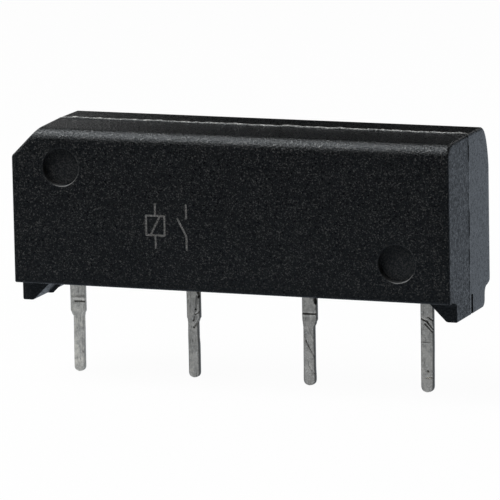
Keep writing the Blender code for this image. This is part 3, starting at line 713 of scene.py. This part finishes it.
def ejector_cutter(x, z, mat):
    """A round cutter: (x + r cos a, y, z + r sin a), where r flares by a quarter circle at the face and ends
    in a filleted floor."""
    angle = np.linspace(0, math.pi / 2, 6)
    rim = EJECTOR_RADIUS + EJECTOR_RIM * (1 - np.sin(angle))
    rim_y = EJECTOR_RIM * (1 - np.cos(angle))
    floor = EJECTOR_RADIUS - EJECTOR_FILLET * (1 - np.cos(angle))
    floor_y = EJECTOR_DEPTH - EJECTOR_FILLET * (1 - np.sin(angle))
    radius = np.concatenate([[rim[0]], rim, floor])
    depth = np.concatenate([[-EJECTOR_DEPTH], rim_y, floor_y])
    turn = np.linspace(0, 2 * math.pi, EJECTOR_SIDES, endpoint=False)
    y = np.broadcast_to(-FRONT_DEPTH + depth[:, None], (len(depth), EJECTOR_SIDES))
    points = np.stack([x + radius[:, None] * np.cos(turn), y, z + radius[:, None] * np.sin(turn)], -1)
    cutter = lofted("ejector_cutter", points)
    cutter.data.materials.append(mat)
    return cutter


def cavity_cutter():
    """The space that the switch and its coil take up in the case, turned about the switch's axis."""
    half_x = np.array([REED_END, GLASS_HALF, GLASS_HALF, BOBBIN_HALF, BOBBIN_HALF, COIL_HALF, COIL_HALF])
    half_x = half_x + np.array([FIT] * 5 + [0, 0])
    half_r = np.array([WIRE_RADIUS] * 2 + [GLASS_RADIUS] * 2 + [FLANGE_RADIUS] * 2 + [COIL_RADIUS]) + FIT
    x, radius = np.concatenate([-half_x, half_x[::-1]]), np.concatenate([half_r, half_r[::-1]])
    return turned("cavity_cutter", x, radius, CAVITY_SIDES, closed=False)


def block(name, low, high):
    """A plain block between two corners, for a cutter."""
    (x0, y0, z0), (x1, y1, z1) = low, high
    ring = np.array([(x0, y0), (x1, y0), (x1, y1), (x0, y1)])
    points = np.stack([np.column_stack([ring, np.full(4, z)]) for z in (z0, z1)])
    return lofted(name, points)


# A groove up the outer side of the right foot, just behind the parting line
GROOVE_LOW = (HALF_LENGTH - 0.09 * MM, 0.15 * MM, -0.10 * MM)
GROOVE_HIGH = (HALF_LENGTH + 0.10 * MM, 0.38 * MM, 0.82 * MM)

# Gaps left along the parting line of the right end where flash broke out: the two Y and the two Z of each,
# in millimetres, and their depth
SEAM_GAPS = (
    (-0.02, 0.07, 3.27, 4.25), (-0.01, 0.05, 2.42, 2.70), (-0.01, 0.05, 2.05, 2.28), (-0.02, 0.03, 6.30, 6.95),
)
SEAM_DEPTH = 0.06 * MM

# Strokes of the burnt circuit symbol, a coil and an open contact: X and Z of their two ends, in millimetres
MARK_STROKES = (
    (-3.55, 3.15, -2.75, 3.15), (-3.55, 3.95, -2.75, 3.95), (-3.55, 3.15, -3.55, 3.95),
    (-2.75, 3.15, -2.75, 3.95), (-3.15, 3.95, -3.15, 4.45), (-3.15, 2.62, -3.15, 3.15),
    (-3.36, 3.15, -2.94, 3.95),
    (-1.80, 3.90, -1.80, 4.45), (-1.80, 2.62, -1.80, 3.15), (-1.80, 3.15, -2.18, 3.88),
)
MARK_HALF = 0.04 * MM
MARK_DEPTH = 0.014 * MM


def stroke_cutter(stroke, mat):
    """A shallow groove along one stroke: a bar with six-sided ends that reaches just below the front face."""
    x0, z0, x1, z1 = (value * MM for value in stroke)
    along = np.array([x1 - x0, z1 - z0])
    along /= np.linalg.norm(along)
    angle = math.atan2(along[1], along[0]) + np.radians([90, 135, 180, 225, 270, -90, -45, 0, 45, 90])
    start = np.repeat([(x0, z0), (x1, z1)], 5, axis=0)
    ring = start + MARK_HALF * np.stack([np.cos(angle), np.sin(angle)], -1)
    points = np.stack([np.column_stack([ring[:, 0], np.full(10, y), ring[:, 1]])
                       for y in (-FRONT_DEPTH - MARK_HALF, -FRONT_DEPTH + MARK_DEPTH)])
    cutter = lofted("stroke_cutter", points)
    cutter.data.materials.append(mat)
    return cutter


# The leads

EDGE_STEPS = 3
FACE_SPANS = 28
SIDE_SPAN = 4

# The outline of each pin below the case: height, and the left and right edges from the pin's own centre
PIN_OUTLINES = (
    ((0.95, -0.370, 0.295), (-0.66, -0.370, 0.295), (-0.80, -0.315, 0.245), (-0.92, -0.245, 0.225),
     (-3.20, -0.260, 0.215)),
    ((0.95, -0.280, 0.310), (-0.68, -0.275, 0.318), (-0.80, -0.245, 0.262), (-0.92, -0.228, 0.226),
     (-1.50, -0.238, 0.226), (-1.90, -0.236, 0.250)),
    ((0.95, -0.300, 0.340), (-0.51, -0.302, 0.342), (-0.66, -0.284, 0.290), (-0.84, -0.262, 0.226),
     (-2.40, -0.275, 0.226), (-3.00, -0.284, 0.242)),
    ((0.95, -0.280, 0.278), (-1.20, -0.282, 0.275), (-2.30, -0.285, 0.262), (-3.00, -0.288, 0.255)),
)
JOGGLE_LOW = 1.35 * MM
JOGGLE_HIGH = 2.30 * MM
TAB_HALF = 0.32 * MM
POST_HALF = 0.20 * MM
ARM_HALF = 0.21 * MM
ARM_Z = 1.35 * MM + ARM_HALF
TURN_RADIUS = 0.24 * MM
PIN_BLEND = 0.25 * MM
PIN_STEP = 0.02 * MM
TIP_HEIGHT = 0.235 * MM
PIN_TIPS = (-3.24, -3.22, -3.265, -3.265)
TIP_POWER = 2.5

# Dents and scores in the front of the pins: lead, the two ends from the pin's own centre in X and Z, half
# width and depth, which is below zero where metal stands proud
PIN_MARKS = (
    (0, -0.12, -0.246, 0.30, -0.246, 0.035, 0.034), (0, -0.25, -0.13, 0.25, -0.12, 0.060, -0.010),
    (0, 0.17, -1.56, 0.16, -2.39, 0.024, 0.026), (0, 0.02, -1.90, 0.03, -2.15, 0.030, 0.008),
    (1, 0.27, 0.40, 0.30, 0.22, 0.050, 0.160), (1, 0.20, 0.23, 0.13, -0.35, 0.030, 0.042),
    (1, 0.13, -0.35, 0.04, -0.80, 0.028, 0.034), (1, 0.05, -1.10, 0.28, -0.77, 0.028, 0.042),
    (1, 0.12, -0.55, 0.30, -0.40, 0.024, 0.030), (1, 0.02, -1.95, 0.05, -2.30, 0.030, -0.008),
    (2, -0.28, -0.242, 0.30, -0.238, 0.022, 0.014), (2, -0.28, -0.330, 0.30, -0.325, 0.035, -0.020),
    (2, 0.29, 0.38, 0.32, 0.22, 0.050, 0.160), (2, -0.20, -0.95, -0.13, -1.40, 0.026, 0.020),
    (2, -0.13, -1.40, 0.22, -2.05, 0.026, 0.020), (2, -0.05, -0.80, 0.16, -1.35, 0.026, -0.010),
    (2, 0.00, -2.45, 0.20, -2.75, 0.030, 0.012), (3, -0.25, -0.204, 0.01, -0.317, 0.024, 0.034),
    (3, 0.01, -0.317, 0.27, -0.633, 0.028, 0.042), (3, -0.085, -0.410, 0.25, -0.746, 0.024, 0.034),
    (3, 0.06, -0.140, 0.27, -0.267, 0.026, 0.034), (3, -0.26, -1.225, 0.12, -1.215, 0.022, -0.010),
    (3, 0.02, -2.36, 0.05, -2.38, 0.030, 0.034), (3, -0.04, -2.64, 0.20, -2.63, 0.026, 0.028),
)


def section(left, right, half, edge, spans):
    """A rounded strip section for each station, on points (across, through): at each corner a quarter circle,
    centre + edge * (cos a, sin a), then the side to the next."""
    sx = np.array([-1, 1, 1, -1])
    sy = np.array([-1, -1, 1, 1])
    start = np.array([math.pi, 1.5 * math.pi, 0, 0.5 * math.pi])
    angle = start[:, None] + np.linspace(0, math.pi / 2, EDGE_STEPS + 1)
    edge = np.minimum(edge, 0.49 * (right - left))
    cx = np.where(sx > 0, right[:, None] - edge[:, None], left[:, None] + edge[:, None])
    cy = sy * (half - edge[:, None])
    across = cx[..., None] + edge[:, None, None] * np.cos(angle)
    through = cy[..., None] + edge[:, None, None] * np.sin(angle)
    arcs = np.stack([across, through], -1)
    parts = []
    for corner, count in enumerate(spans * 2):
        parts.append(arcs[:, corner])
        share = np.linspace(0, 1, count + 1)[1:-1, None]
        first, last = arcs[:, corner, -1:], arcs[:, (corner + 1) % 4, :1]
        parts.append(first + (last - first) * share)
    return np.concatenate(parts, axis=1)


def strip(lead, sizes, path, across, through, left, right, grow):
    """A stamped strip carried along a path, with its dents, or grown into a plain cutter for its slot: each
    point is path + a * across + t * through, for the points (a, t) of the section at that station."""
    spans = (1, 1) if grow else (FACE_SPANS, SIDE_SPAN)
    shape = section(left - grow, right + grow, sizes.thickness / 2 + grow, sizes.edge, spans)
    points = path[:, None] + shape[..., :1] * across[:, None] + shape[..., 1:] * through[:, None]
    obj = lofted(f"lead_{lead + 1}_strip", points, LEAD_SHARP_ANGLE)
    if not grow:
        dent(obj, lead, sizes)
    return obj


def smooth_through(at, knots, values):
    """Values at the given places, eased by a cosine between the knots."""
    order = np.argsort(knots)
    knots, values = np.asarray(knots)[order], np.asarray(values)[order]
    index = np.clip(np.searchsorted(knots, at) - 1, 0, len(knots) - 2)
    share = np.clip((at - knots[index]) / (knots[index + 1] - knots[index]), 0, 1)
    share = 0.5 - 0.5 * np.cos(math.pi * share)
    return values[index] + (values[index + 1] - values[index]) * share


def pin_widths(lead, z):
    """The left and right edges of a pin at each height, closed in by a blunt superellipse at its tip."""
    outline = np.array(PIN_OUTLINES[lead]) * MM
    left = smooth_through(z, outline[:, 0], outline[:, 1])
    right = smooth_through(z, outline[:, 0], outline[:, 2])
    half = (right - left) / 2
    above = z - PIN_TIPS[lead] * MM
    share = np.clip(above / half, 0, 1)
    reach = np.clip(1 - (1 - share) ** TIP_POWER, 0.0005, 1) ** (1 / TIP_POWER)
    middle = (left + right) / 2
    return middle - half * reach, middle + half * reach


def pin_heights(lead, top):
    """Heights down a pin, closer together round its tip."""
    tip = PIN_TIPS[lead] * MM
    angle = np.linspace(math.pi / 2, 0, 12)[1:]
    straight = np.arange(top, tip + PIN_BLEND, -PIN_STEP)
    return np.concatenate([straight, tip + TIP_HEIGHT * (1 - np.cos(angle))])


def outer_lead(lead, sizes, grow=0.0):
    """Lead 1 or 4: the tab beside the reed, a joggle y = offset * (1 - cos(pi s)) / 2 and the pin."""
    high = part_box(f"lead_{lead + 1}")[1]
    offset = float(high[1]) - sizes.thickness / 2
    top = float(high[2]) + grow
    tab, joggle = np.linspace(top, JOGGLE_HIGH, 16)[:-1], np.linspace(JOGGLE_HIGH, JOGGLE_LOW, 25)[:-1]
    z = np.concatenate([tab, joggle, pin_heights(lead, JOGGLE_LOW)])
    z = z[z > -FIT_BELOW] if grow else z
    swing = np.clip((z - JOGGLE_LOW) / (JOGGLE_HIGH - JOGGLE_LOW), 0, 1)
    y = offset * (0.5 - 0.5 * np.cos(math.pi * swing))
    in_pin = np.clip((JOGGLE_LOW - z) / (JOGGLE_LOW - UNDERSIDE), 0, 1)
    pin_left, pin_right = pin_widths(lead, z)
    left = -TAB_HALF * (1 - in_pin) + pin_left * in_pin
    right = TAB_HALF * (1 - in_pin) + pin_right * in_pin
    path = np.stack([np.full(len(z), LEAD_X[lead]), y, z], -1)
    across = np.tile((1.0, 0.0, 0.0), (len(z), 1))
    through = np.cross(across, units(np.gradient(path, axis=0)))
    through *= np.sign(through[:, 1:2])
    return strip(lead, sizes, path, across, through, left, right, grow)


def inner_lead(lead, sizes, grow=0.0):
    """Lead 2 or 3: a flat strip from its post, by quarter circles in along its arm and down its pin."""
    x = LEAD_X[lead]
    outward = math.copysign(1, x)
    low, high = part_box(f"lead_{lead + 1}")
    post_x = float(high[0] if outward > 0 else -low[0]) - POST_HALF
    angle = np.linspace(0, math.pi / 2, 9)
    post_z = np.linspace(float(high[2]) + grow, ARM_Z + TURN_RADIUS, 9)[:-1]
    post = np.stack([np.full(8, post_x), post_z], -1)
    in_turn, down_turn = TURN_RADIUS * (1 - np.cos(angle)), TURN_RADIUS * (1 - np.sin(angle))
    first = np.stack([post_x - in_turn, ARM_Z + down_turn], -1)
    start = abs(x) + TURN_RADIUS
    arm = np.stack([np.linspace(post_x - TURN_RADIUS, start, 24)[1:-1], np.full(22, ARM_Z)], -1)
    second = np.stack([start - TURN_RADIUS * np.sin(angle), ARM_Z - in_turn], -1)
    heights = pin_heights(lead, ARM_Z - TURN_RADIUS)[1:]
    heights = heights[heights > -FIT_BELOW] if grow else heights
    pin = np.stack([np.full(len(heights), abs(x)), heights], -1)
    route = np.concatenate([post, first, arm, second, pin])
    pin_left, pin_right = pin_widths(lead, heights)
    edge_in, edge_out = (-pin_left, pin_right) if outward > 0 else (pin_right, -pin_left)
    share = np.clip((ARM_Z - TURN_RADIUS - heights) / PIN_BLEND, 0, 1)
    flat = np.full(len(route) - len(heights), ARM_HALF)
    inward = np.concatenate([flat, ARM_HALF + (edge_in - ARM_HALF) * share])
    outer = np.concatenate([flat, ARM_HALF + (edge_out - ARM_HALF) * share])
    inward[:8], outer[:8] = POST_HALF, POST_HALF
    along = units(np.gradient(route, axis=0))
    none = np.zeros(len(route))
    path = np.stack([outward * route[:, 0], none, route[:, 1]], -1)
    across = np.stack([-outward * along[:, 1], none, along[:, 0]], -1)
    through = np.tile((0.0, 1.0, 0.0), (len(route), 1))
    return strip(lead, sizes, path, across, through, -inward, outer, grow)


def dent(obj, lead, sizes):
    """Presses the marks into the front of a pin: each goes in by depth * exp(-(d / width)^2), for the distance
    d from its line."""
    mesh = obj.data
    points = np.empty(len(mesh.vertices) * 3)
    mesh.vertices.foreach_get("co", points)
    points = points.reshape(-1, 3)
    front = points[:, 1] < -0.3 * sizes.thickness
    face = np.column_stack([(points[:, 0] - LEAD_X[lead]) / MM, points[:, 2] / MM])
    for which, x0, z0, x1, z1, width, depth in PIN_MARKS:
        if which == lead:
            line = np.array([x1 - x0, z1 - z0])
            share = np.clip((face - (x0, z0)) @ line / (line @ line), 0, 1)
            away = np.linalg.norm(face - (x0, z0) - share[:, None] * line, axis=1)
            points[:, 1] += np.where(front, depth * MM * np.exp(-((away / width) ** 2)), 0.0)
    mesh.vertices.foreach_set("co", points.ravel())
    mesh.update()


def all_leads(sizes, grow=0.0):
    """The four leads in order."""
    return [outer_lead(0, sizes, grow), inner_lead(1, sizes, grow), inner_lead(2, sizes, grow),
            outer_lead(3, sizes, grow)]


# The reed switch

GLASS_WALL = 0.30 * MM
SEAL_LENGTH = 0.90 * MM
SEAL_GAP = 0.015 * MM
WIRE_RADIUS = 0.25 * MM
PIVOT_X = GLASS_HALF - SEAL_LENGTH
BLADE_HALF_WIDTH = 0.55 * MM
BLADE_HALF_THICKNESS = 0.10 * MM
BLADE_TAPER = 0.60 * MM
BLADE_RISE = 0.13 * MM
REED_TIP_X = 0.50 * MM
REED_END_STEP = 0.05 * MM
BLADE_STATION = -1.0 * MM


def quarter(x, radius, reach, steps=12):
    """A quarter ellipse on an outline: (x - reach (1 - cos a), low + (high - low) sin a), for the radius that
    grows from low to high."""
    angle = np.linspace(0, math.pi / 2, steps)
    low, high = radius
    return np.stack([x - reach * (1 - np.cos(angle)), low + (high - low) * np.sin(angle)], -1)


def mirrored(half):
    """An outline's half, followed by the same half turned round and reflected in x = 0."""
    return np.concatenate([half, half[::-1] * (-1, 1)])


def glass_tube(sides):
    """The tube, with rounded ends, as one closed outline turned about the axis. Fault: the inside is passed to
    mirrored from its middle outwards, so the bore stays as narrow as at the seals and the blades cross the
    glass. Without its [::-1] the inside would widen to the tube's inner radius."""
    bore, inner, shoulder = WIRE_RADIUS + SEAL_GAP, GLASS_RADIUS - GLASS_WALL, 0.6 * GLASS_RADIUS
    lip = np.array([(GLASS_HALF, bore)])
    outside = np.concatenate([lip, quarter(GLASS_HALF, (shoulder, GLASS_RADIUS), GLASS_RADIUS - shoulder)])
    inside = quarter(PIVOT_X, (bore, inner), inner - bore)[::-1]
    outline = np.concatenate([mirrored(outside), mirrored(inside)[::-1]])
    return turned("glass_tube", outline[:, 0], outline[:, 1], sides)


def reed(name, side, sides):
    """A round wire that flattens to a blade and rises off the axis: rings of superellipses whose half sizes,
    rise and power ease over by s * s * (3 - 2 s). The right reed is the left one, turned round."""
    taper = -PIVOT_X + WIRE_RADIUS + BLADE_TAPER * np.linspace(0, 1, 17)
    rounding = REED_TIP_X - BLADE_HALF_THICKNESS * (1 - np.sin(np.linspace(0, math.pi / 2, 7)))
    straight = np.linspace(-REED_END + REED_END_STEP, -PIVOT_X, 9)
    x = np.concatenate([[-REED_END], straight, taper, [BLADE_STATION], rounding])
    flat = np.clip((x + PIVOT_X - WIRE_RADIUS) / BLADE_TAPER, 0, 1)
    ease = (flat * flat * (3 - 2 * flat))[:, None]
    closing = np.clip((x - rounding[0]) / BLADE_HALF_THICKNESS, 0, 1)[:, None]
    drawn_in = BLADE_HALF_THICKNESS * (1 - np.sqrt(1 - closing ** 2))
    width = WIRE_RADIUS + (BLADE_HALF_WIDTH - WIRE_RADIUS) * ease - drawn_in
    height = WIRE_RADIUS + (BLADE_HALF_THICKNESS - WIRE_RADIUS) * ease - 0.3 * drawn_in
    power = 2 / (2 + 6 * ease)
    angle = np.linspace(0, 2 * math.pi, sides, endpoint=False)[None, :]
    c, s = np.cos(angle), np.sin(angle)
    y = width * np.sign(c) * np.abs(c) ** power
    z = BLADE_RISE * ease + height * np.sign(s) * np.abs(s) ** power
    points = np.stack([np.broadcast_to(side * x[:, None], y.shape), y, AXIS_Z + side * z], -1)
    return lofted(name, points)


# The coil

GAP = 0.02 * MM
BOBBIN_WALL = 0.26 * MM
FLANGE_THICKNESS = BOBBIN_HALF - COIL_HALF - GAP
FLANGE_EDGE = 0.08 * MM
SLOT_HALF = 0.16 * MM
WIRE_END_RADIUS = 0.05 * MM
WIRE_END_SIDES = 16
WIRE_END_Z = AXIS_Z - COIL_RADIUS + 0.12 * MM
BORE = GLASS_RADIUS + GAP
CORE = BORE + BOBBIN_WALL
WRAP_X = BOBBIN_HALF + 0.65 * MM
WRAP_HALF_X = 0.30 * MM
WRAP_HALF_Y = 0.225 * MM
WRAP_TURNS = 2.5
WRAP_PITCH = 0.12 * MM
CREASE = 0.90
TURN_STEPS = 6


def bobbin_piece(mat, sides):
    """The coil former: an outline with a round-edged flange at each end, turned about the axis, and a slot cut
    in each flange for a wire."""
    flange = BOBBIN_HALF - FLANGE_THICKNESS
    rim = FLANGE_RADIUS - FLANGE_EDGE
    outer = quarter(BOBBIN_HALF, (rim, FLANGE_RADIUS), FLANGE_EDGE, 6)
    inner = quarter(-flange, (rim, FLANGE_RADIUS), FLANGE_EDGE, 6)[::-1] * (-1, 1)
    half = np.concatenate([[(BOBBIN_HALF, BORE)], outer, inner, [(flange, CORE)]])
    outline = mirrored(half)
    bobbin = turned("coil_former", outline[:, 0], outline[:, 1], sides)
    bobbin.data.materials.append(mat)
    slots = []
    for side in (-1, 1):
        low, high = sorted((side * (flange - SLOT_HALF), side * (BOBBIN_HALF + SLOT_HALF)))
        slots.append(block("slot_cutter", (low, -SLOT_HALF, AXIS_Z - FLANGE_RADIUS - SLOT_HALF),
                           (high, SLOT_HALF, WIRE_END_Z + SLOT_HALF)))
        slots[-1].data.materials.append(mat)
    cut(bobbin, slots)
    return bobbin


def winding(wire, sides):
    """The turns of the winding: arcs side by side along X, R - w / 2 + w / 2 * sqrt(1 - (crease * u)^2) for u
    from -1 to 1 across each, that climb by one pitch each time round and are closed in by the bore."""
    count = int(2 * COIL_HALF / wire) * TURN_STEPS
    x = np.linspace(-COIL_HALF, COIL_HALF, count + 1)
    share = np.linspace(0, 1, sides, endpoint=False)[:, None]
    across = 2 * ((x[None, :] / wire - share) % 1.0) - 1
    radius = COIL_RADIUS - wire / 2 + wire / 2 * np.sqrt(1 - (CREASE * across) ** 2)
    bore = np.full((sides, 2), CORE + GAP)
    outline_x = np.concatenate([x, [COIL_HALF, -COIL_HALF]])
    return turned("winding", outline_x, np.hstack([radius, bore]), sides, smooth_angle=WINDING_SHARP_ANGLE)


def wire_end(name, side):
    """A wire from the winding through the flange's slot to its post, then in rounded turns down the post. The
    path P carries a round tube, P + r (cos b * across + sin b * over)."""
    start, leave, arrive = COIL_HALF + GAP, BOBBIN_HALF - FLANGE_THICKNESS / 2, WRAP_X - WRAP_HALF_X
    share = np.linspace(0, 1, 17)
    sway = share * share * (3 - 2 * share)
    run = np.stack([leave + (arrive - leave) * share, -WRAP_HALF_Y * sway, np.full(17, WIRE_END_Z)], -1)
    turns = np.arange(0, WRAP_TURNS + 1e-6, 1 / 32)
    angle = 2 * math.pi * turns - math.pi / 2
    c, s = np.cos(angle), np.sin(angle)
    wrap = np.stack([WRAP_X + WRAP_HALF_X * np.sign(c) * np.sqrt(np.abs(c)),
                     WRAP_HALF_Y * np.sign(s) * np.sqrt(np.abs(s)), WIRE_END_Z - WRAP_PITCH * turns], -1)
    path = np.concatenate([[(start, 0.0, WIRE_END_Z)], run, wrap]) * (side, 1, 1)
    along = units(np.gradient(path, axis=0))
    across = units(np.cross(along, (0.0, 0.0, 1.0)))
    over = np.cross(along, across)
    ring = np.linspace(0, 2 * math.pi, WIRE_END_SIDES, endpoint=False)[None, :, None]
    points = path[:, None] + WIRE_END_RADIUS * (np.cos(ring) * across[:, None] + np.sin(ring) * over[:, None])
    return lofted(name, points, WIRE_SHARP_ANGLE)


# Operators

class RELAY_OT_case(bpy.types.Operator):
    """Make the moulded case with its flash, ejector marks and inner space"""

    bl_idname = "relay.case"
    bl_label = "Case"

    def execute(self, context):
        sizes, leads = context.scene.relay_case, context.scene.relay_leads
        epoxy, ejector = epoxy_material(sizes), ejector_material(sizes)
        case = case_shell(sizes)
        case.data.materials.append(epoxy)
        cutters = [ejector_cutter(x, z, ejector) for x, z in EJECTOR_PLACES]
        mark = mark_material(sizes)
        cutters += [stroke_cutter(stroke, mark) for stroke in MARK_STROKES]
        inner = [cavity_cutter(), block("groove_cutter", GROOVE_LOW, GROOVE_HIGH)] + all_leads(leads, FIT)
        for y0, y1, z0, z1 in SEAM_GAPS:
            inner.append(block("seam_cutter", (HALF_LENGTH - SEAM_DEPTH, y0 * MM, z0 * MM),
                               (HALF_LENGTH + SEAM_DEPTH, y1 * MM, z1 * MM)))
        for name in ("coil_start_wire", "coil_finish_wire"):
            low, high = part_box(name)
            inner.append(block("wire_cutter", [c - FIT for c in low], [c + FIT for c in high]))
        for cutter in inner:
            cutter.data.materials.append(epoxy)
        cut(case, cutters + inner)
        case.data.shade_smooth()
        case.data.set_sharp_from_angle(angle=math.radians(SHARP_ANGLE))
        weighted = case.modifiers.new("normals", "WEIGHTED_NORMAL")
        weighted.keep_sharp = True
        finish_piece(case, None, "moulding", ["moulded_body"])
        return {"FINISHED"}


class RELAY_OT_leads(bpy.types.Operator):
    """Make the four stamped and tinned leads"""

    bl_idname = "relay.leads"
    bl_label = "Leads"

    def execute(self, context):
        sizes = context.scene.relay_leads
        tin = tin_material(sizes)
        for number, strip in enumerate(all_leads(sizes), start=1):
            finish_piece(strip, tin, "moulding", [f"lead_{number}"])
        return {"FINISHED"}


class RELAY_OT_switch(bpy.types.Operator):
    """Make the reed switch: its glass and its two reeds"""

    bl_idname = "relay.switch"
    bl_label = "Reed switch"

    def execute(self, context):
        sizes = context.scene.relay_switch
        glass = glass_material(sizes)
        finish_piece(glass_tube(sizes.sides), glass, "moulding", ["glass_envelope"])
        reeds = reed_material()
        for name, side in (("left", 1), ("right", -1)):
            finish_piece(reed(f"{name}_reed_wire", side, sizes.sides), reeds, f"{name}_reed", [f"reed_{name}"])
        return {"FINISHED"}


class RELAY_OT_coil(bpy.types.Operator):
    """Make the bobbin, the winding's turns and the two wire ends"""

    bl_idname = "relay.coil"
    bl_label = "Coil"

    def execute(self, context):
        sizes = context.scene.relay_switch
        plastic = plastic_material()
        finish_piece(bobbin_piece(plastic, sizes.sides), plastic, "moulding", ["bobbin"])
        finish_piece(winding(sizes.wire, sizes.sides), copper_material("enamelled_copper", sizes.copper_color),
                     "moulding", ["coil_winding"])
        ends = copper_material("lead_out_copper", sizes.copper_color)
        for name, side in (("start", -1), ("finish", 1)):
            finish_piece(wire_end(f"{name}_wire", side), ends, "moulding", [f"coil_{name}_wire"])
        return {"FINISHED"}


class RELAY_OT_stage(bpy.types.Operator):
    """Set up the floor, the lamps, the studio and the camera"""

    bl_idname = "relay.stage"
    bl_label = "Stage"

    def execute(self, context):
        stage = context.scene.relay_stage
        make_floor(float(CAD_BOX[0][2]))
        for name, direction, distance, size, aim in LAMPS:
            make_lamp(f"{name}_lamp", direction, distance, size, getattr(stage, name), aim)
        make_world(stage.sky)
        make_camera(stage)
        context.scene.view_settings.view_transform = "Standard"
        return {"FINISHED"}


FLOOR_RADIUS = 900 * MM
FLOOR_SIDES = 96
FLOOR_COLOR = (0.35, 0.35, 0.35)
FLOOR_WHITE = 0.97
FLOOR_GLOSS_BACK = 0.74
FLOOR_GLOSS_FRONT = 0.05
FLOOR_COOL = (0.85, 0.95, 1.08)
GLOSS_FADES = (-36 * MM, -16 * MM)
STUDIO_FRONT = 0.22
STUDIO_BACK = 0.02
SENSOR_WIDTH = 36.0


def make_floor(z):
    """A disc at the tips of the leads, (R cos a, R sin a, z). It is grey to the light, nearly white to the
    camera and through glass, and in gloss pale near and behind the object and dim far in front of it."""
    angle = np.linspace(0, 2 * math.pi, FLOOR_SIDES, endpoint=False)
    mesh = bpy.data.meshes.new("floor")
    ring = np.stack([FLOOR_RADIUS * np.cos(angle), FLOOR_RADIUS * np.sin(angle), np.full(FLOOR_SIDES, z)], -1)
    mesh.from_pydata(ring.tolist(), [], [list(range(FLOOR_SIDES))])
    floor = add_object("floor", mesh)
    mat, tree, shader = new_material("pale_floor")
    plug(tree, shader, {"Base Color": FLOOR_COLOR, "Roughness": 0.9, "Specular IOR Level": 0.0})
    rays = node(tree, "ShaderNodeLightPath", {}).outputs
    gloss = ramp(tree, parts(tree, place(tree))[1], *GLOSS_FADES, FLOOR_GLOSS_FRONT, FLOOR_GLOSS_BACK)
    direct = maths(tree, "MAXIMUM", rays["Is Camera Ray"], rays["Is Transmission Ray"])
    seen = maths(tree, "MAXIMUM", direct, rays["Is Glossy Ray"])
    tone = mix(tree, rays["Is Camera Ray"], FLOOR_COOL, (1.0, 1.0, 1.0))
    strength = maths(tree, "MAXIMUM", direct, gloss)
    white = node(tree, "ShaderNodeEmission", {"Color": tone, "Strength": strength})
    share = times(tree, seen, FLOOR_WHITE)
    blend = node(tree, "ShaderNodeMixShader", {0: share, 1: shader.outputs[0], 2: white.outputs[0]})
    plug(tree, tree.nodes["Material Output"], {"Surface": blend.outputs[0]})
    mesh.materials.append(mat)


def make_lamp(name, direction, distance, size, power, aim):
    """A round soft lamp at a distance from the point that it faces."""
    lamp = bpy.data.lights.new(name, "AREA")
    lamp.shape = "DISK"
    lamp.size = size
    lamp.energy = power
    obj = add_object(name, lamp)
    away = Vector(direction).normalized()
    obj.location = Vector(aim) + away * distance
    obj.rotation_euler = away.to_track_quat("Z", "Y").to_euler()


def make_world(brightness):
    """A pale studio, brighter on the camera's side than behind the object."""
    world = bpy.data.worlds.new("studio")
    bpy.context.scene.world = world
    world.use_nodes = True
    tree = world.node_tree
    direction = node(tree, "ShaderNodeTexCoord", {}).outputs["Generated"]
    share = ramp(tree, parts(tree, direction)[1], -0.6, 0.8, STUDIO_FRONT, STUDIO_BACK)
    light = {"Color": (1.0, 1.0, 1.0), "Strength": times(tree, share, brightness)}
    plug(tree, tree.nodes["Background"], light)


def make_camera(stage):
    """A long lens at the photograph's angle: the axes follow from azimuth and elevation, then the roll."""
    azimuth, elevation, roll = stage.azimuth, stage.elevation, -stage.roll
    level = math.cos(elevation)
    back = Vector((math.sin(azimuth) * level, -math.cos(azimuth) * level, math.sin(elevation)))
    right = Vector((math.cos(azimuth), math.sin(azimuth), 0.0))
    up = back.cross(right)
    turned_right = right * math.cos(roll) + up * math.sin(roll)
    turned_up = up * math.cos(roll) - right * math.sin(roll)
    camera = bpy.data.cameras.new("camera")
    camera.lens = stage.lens
    camera.sensor_width = SENSOR_WIDTH
    camera.clip_start = 1 * MM
    camera.clip_end = 10.0
    obj = add_object("camera", camera)
    axes = Matrix((turned_right, turned_up, back)).transposed().to_4x4()
    obj.matrix_world = Matrix.Translation(Vector(AIM) + back * stage.distance) @ axes
    bpy.context.scene.camera = obj


class RELAY_PT_panel(bpy.types.Panel):
    """The relay's settings and the buttons that build it"""

    bl_label = "Reed relay"
    bl_space_type = "VIEW_3D"
    bl_region_type = "UI"
    bl_category = "Relay"

    def draw(self, context):
        for name, _ in SETTINGS:
            group = getattr(context.scene, name)
            box = self.layout.box()
            for key in group.__annotations__:
                box.prop(group, key)
        for operator in OPERATORS:
            self.layout.operator(operator.bl_idname)


SETTINGS = (("relay_case", CaseSizes), ("relay_leads", LeadSizes), ("relay_switch", SwitchSizes),
            ("relay_stage", StageSettings))
OPERATORS = (RELAY_OT_stage, RELAY_OT_case, RELAY_OT_leads, RELAY_OT_switch, RELAY_OT_coil)


def register():
    """Registers the settings, the operators and the panel."""
    for _, group in SETTINGS:
        bpy.utils.register_class(group)
    for cls in (*OPERATORS, RELAY_PT_panel):
        bpy.utils.register_class(cls)
    for name, group in SETTINGS:
        setattr(bpy.types.Scene, name, PointerProperty(type=group))


def unregister():
    """Takes back all that register did."""
    for name, _ in SETTINGS:
        delattr(bpy.types.Scene, name)
    for cls in (RELAY_PT_panel, *reversed(OPERATORS)):
        bpy.utils.unregister_class(cls)
    for _, group in reversed(SETTINGS):
        bpy.utils.unregister_class(group)


def main():
    """Builds every piece and the stage in order."""
    register()
    bpy.ops.relay.stage()
    bpy.ops.relay.case()
    bpy.ops.relay.leads()
    bpy.ops.relay.switch()
    bpy.ops.relay.coil()


if __name__ == "__main__":
    main()
